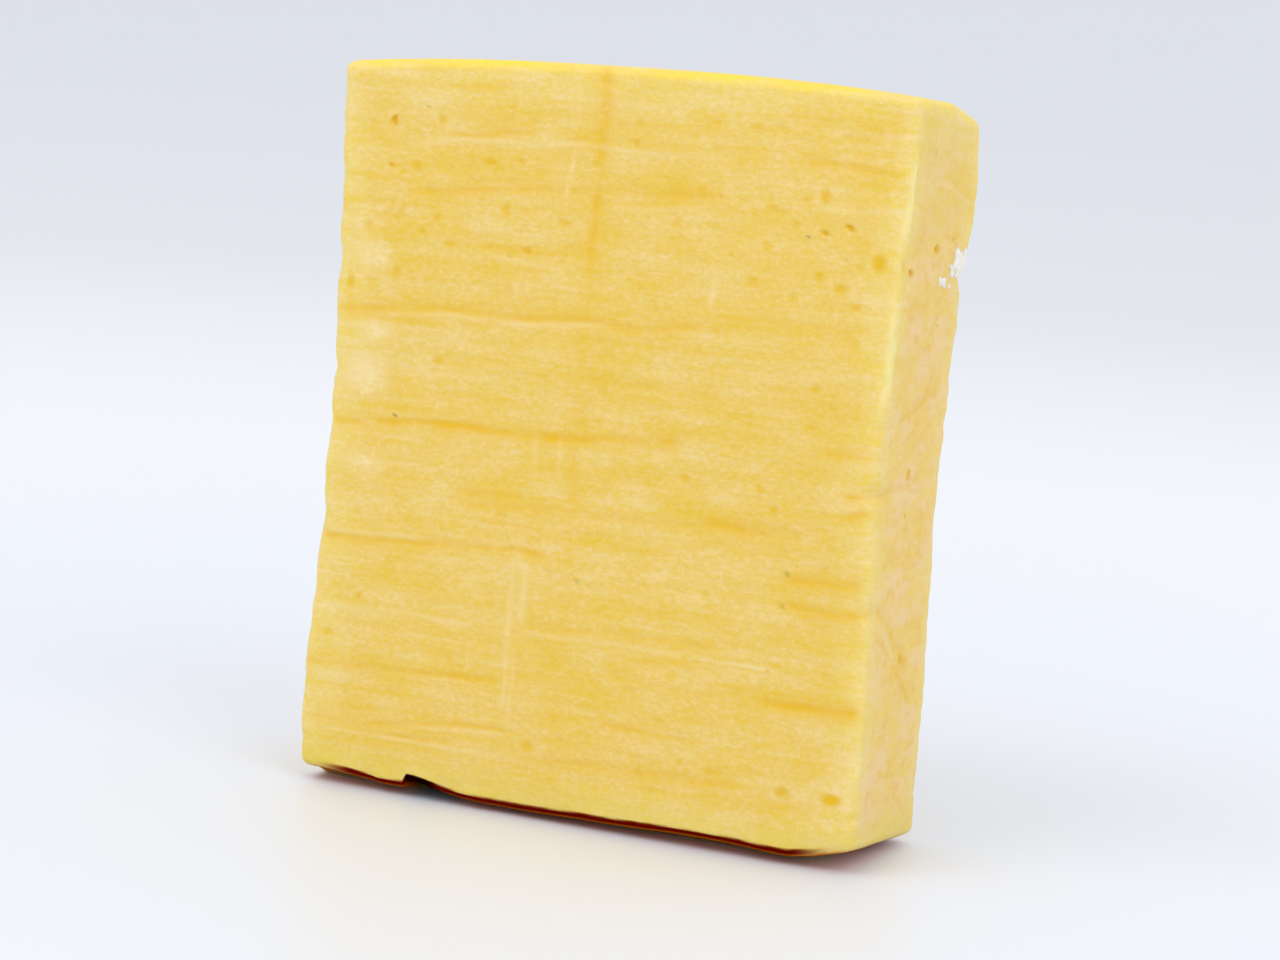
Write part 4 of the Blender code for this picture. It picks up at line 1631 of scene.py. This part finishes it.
@dataclass
class Crumbs:
    """White crumbs that cling to the torn notch and to the end below it."""

    name: str = "white_crumbs"
    form: PressedForm = field(default_factory=PressedForm)
    finish: CrumbFinish = field(default_factory=CrumbFinish)
    seed: int = 8
    count: int = 74
    heap: tuple[tuple[float, float], tuple[float, float]] = ((10.6, 1.4), (82.4, 0.85))
    heap_sizes: tuple[float, float] = (0.45, 0.9)
    strays: int = 22
    fleck: tuple[tuple[float, float], tuple[float, float]] = ((4.4, 0.8), (79.2, 0.35))
    fleck_sizes: tuple[float, float] = (0.25, 0.5)
    flatness: float = 0.45
    jitter: float = 0.04
    merging: float = 0.14

    def spots(self, rng: random.Random) -> list[tuple[float, float, float]]:
        """Where the crumbs lie on the right end, as (y, height on the slab, size).

        Args:
            rng: the draw.

        Returns:
            One row for each crumb.
        """
        made = []
        for _ in range(self.count):
            y = min(rng.gauss(*self.heap[0]), HALF_DEEP)
            made.append((y, rng.gauss(*self.heap[1]), rng.uniform(*self.heap_sizes)))
        for _ in range(self.strays):
            y = rng.gauss(*self.fleck[0])
            made.append((y, rng.gauss(*self.fleck[1]), rng.uniform(*self.fleck_sizes)))
        return made

    def build(self) -> bpy.types.Object:
        """Make the crumbs as one piece.

        Returns:
            Their object.
        """
        rng = random.Random(self.seed)
        bm = bmesh.new()
        for y, z, size in self.spots(rng):
            slab = self.form.rounded(np.array(((HALF_WIDE, y, z),)))
            place = Vector(self.form.squeezed(slab)[0])
            turn = Matrix.Rotation(rng.uniform(0.0, math.pi), 4, "X")
            shape = Matrix.Diagonal((self.flatness * size, size, rng.uniform(0.6, 1.0) * size, 1.0))
            matrix = Matrix.Translation(place) @ turn @ shape
            ball = bmesh.ops.create_icosphere(bm, subdivisions=2, radius=1.0, matrix=matrix)
            for vert in ball["verts"]:
                vert.co += Vector(rng.uniform(-self.jitter, self.jitter) for _ in range(3))
        mesh = mesh_from(bm, self.name)
        put_points(mesh, points_of(mesh))
        made = show(mesh, self.name, self.finish.material())
        merge = made.modifiers.new("merge", "REMESH")
        merge.mode = "VOXEL"
        merge.voxel_size = self.merging * METRES
        merge.use_smooth_shade = True
        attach(made, "root")
        return made


@dataclass
class Studio:
    """The pale floor, the soft light and the camera."""

    lens: float = 78.19
    turned: float = 23.20
    raised: float = 6.30
    rolled: float = 4.55
    camera_place: tuple[float, float, float] = (154.7, -356.3, 88.1)
    floor_reach: float = 4.2
    flat_reach: float = 1.6
    wall_height: float = 0.9
    floor_cells: int = 96
    floor_roughness: float = 0.4
    floor_shine: float = 0.3
    # The floor's painted light: darker and bluer close round the block as painted shade, and darker
    # far off as painted fall-off of the light
    near_span: tuple[float, float] = (0.10, 0.45)
    far_span: tuple[float, float] = (0.65, 2.8)
    sky: tuple[float, ...] = (0.89, 0.90, 0.925, 1.0)
    floor_near: tuple[float, ...] = (0.832, 0.86, 0.922, 1.0)
    floor_middle: tuple[float, ...] = (0.918, 0.93, 0.96, 1.0)
    floor_far: tuple[float, ...] = (0.78, 0.80, 0.845, 1.0)
    key_place: tuple[float, float, float] = (-0.9, -1.5, 1.9)
    key_size: float = 1.4
    key_power: float = 12.3
    fill_place: tuple[float, float, float] = (1.5, -0.9, 1.3)
    fill_size: float = 1.2
    fill_power: float = 7.4

    def camera(self) -> bpy.types.Object:
        """Make the camera at the photograph's angle and make it the scene's.

        Returns:
            The camera.
        """
        turned, raised, rolled = (math.radians(v) for v in (self.turned, self.raised, self.rolled))
        flat = Vector((math.sin(turned), -math.cos(turned), 0.0))
        back = flat * math.cos(raised) + Vector((0.0, 0.0, math.sin(raised)))
        level = Vector((0.0, 0.0, 1.0)).cross(back).normalized()
        upright = back.cross(level)
        right = level * math.cos(rolled) + upright * math.sin(rolled)
        up = upright * math.cos(rolled) - level * math.sin(rolled)
        pose = Matrix((right, up, back)).transposed().to_4x4()
        x, y, z = self.camera_place
        floor_drop = FOOT_LINE + FOOT_DEPTH
        place = Vector((x - BOX_MIDDLE[0], y - BOX_MIDDLE[1], z + floor_drop)) * METRES
        data = bpy.data.cameras.new("camera")
        data.lens = self.lens
        data.sensor_width = 36.0
        data.clip_start = 0.01
        data.dof.use_dof = False
        made = bpy.data.objects.new("camera", data)
        made.matrix_world = Matrix.Translation(place) @ pose
        bpy.context.scene.collection.objects.link(made)
        bpy.context.scene.camera = made
        return made

    def floor(self) -> bpy.types.Object:
        """Make the floor, flat around the block and rising softly far away on all sides.

        Returns:
            The floor, which is stage and not part of the object.
        """
        bm = bmesh.new()
        cells = self.floor_cells
        bmesh.ops.create_grid(bm, x_segments=cells, y_segments=cells, size=self.floor_reach)
        for vert in bm.verts:
            beyond = max(vert.co.length - self.flat_reach, 0.0)
            vert.co.z = self.wall_height * (beyond / (self.floor_reach - self.flat_reach)) ** 2
        mesh = mesh_from(bm, "floor")
        material = bpy.data.materials.new("pale_floor")
        desk = NodeDesk(material)
        place = desk.node("ShaderNodeTexCoord").outputs["Object"]
        length = desk.node("ShaderNodeVectorMath", operation="LENGTH")
        desk.put(length.inputs[0], place)
        away = length.outputs["Value"]
        # painted shade close round the block, painted fall-off of light far away
        colour = desk.mix(desk.spread(away, *self.near_span), self.floor_near, self.floor_middle)
        colour = desk.mix(desk.spread(away, *self.far_span), colour, self.floor_far)
        shader = desk.node("ShaderNodeBsdfPrincipled")
        desk.put(shader.inputs["Base Color"], colour)
        shader.inputs["Roughness"].default_value = self.floor_roughness
        shader.inputs["Specular IOR Level"].default_value = self.floor_shine
        desk.put_out(shader)
        made = show(mesh, "floor", material)
        return made

    def world(self) -> None:
        """Light the scene all round with a pale sky."""
        world = bpy.data.worlds.new("studio")
        world.use_nodes = True
        background = world.node_tree.nodes["Background"]
        background.inputs["Color"].default_value = self.sky
        background.inputs["Strength"].default_value = 1.0
        bpy.context.scene.world = world

    @staticmethod
    def lamp(name: str, place: tuple[float, float, float], size: float, power: float) -> None:
        """Hang one soft square lamp that faces the block.

        Args:
            name: its name.
            place: where it hangs, in metres.
            size: its side, in metres.
            power: its power in watts.
        """
        data = bpy.data.lights.new(name, "AREA")
        data.shape = "SQUARE"
        data.size = size
        data.energy = power
        made = bpy.data.objects.new(name, data)
        toward = Vector((0.0, 0.0, 0.5 * HEIGHT * METRES)) - Vector(place)
        turn = toward.to_track_quat("-Z", "Y").to_matrix().to_4x4()
        made.matrix_world = Matrix.Translation(Vector(place)) @ turn
        bpy.context.scene.collection.objects.link(made)

    def build(self) -> None:
        """Set up everything that isn't part of the object."""
        self.camera()
        self.floor()
        self.world()
        self.lamp("key", self.key_place, self.key_size, self.key_power)
        self.lamp("fill", self.fill_place, self.fill_size, self.fill_power)
        bpy.context.scene.view_settings.view_transform = "Standard"


def main() -> None:
    """Build the scene, piece by piece."""
    logging.basicConfig(level=logging.INFO, format="%(message)s")
    Studio().build()
    for maker in (CheeseBlock(), Crumbs()):
        made = maker.build()
        LOG.info("%s: %d faces", made.name, len(made.data.polygons))


if __name__ == "__main__":
    main()
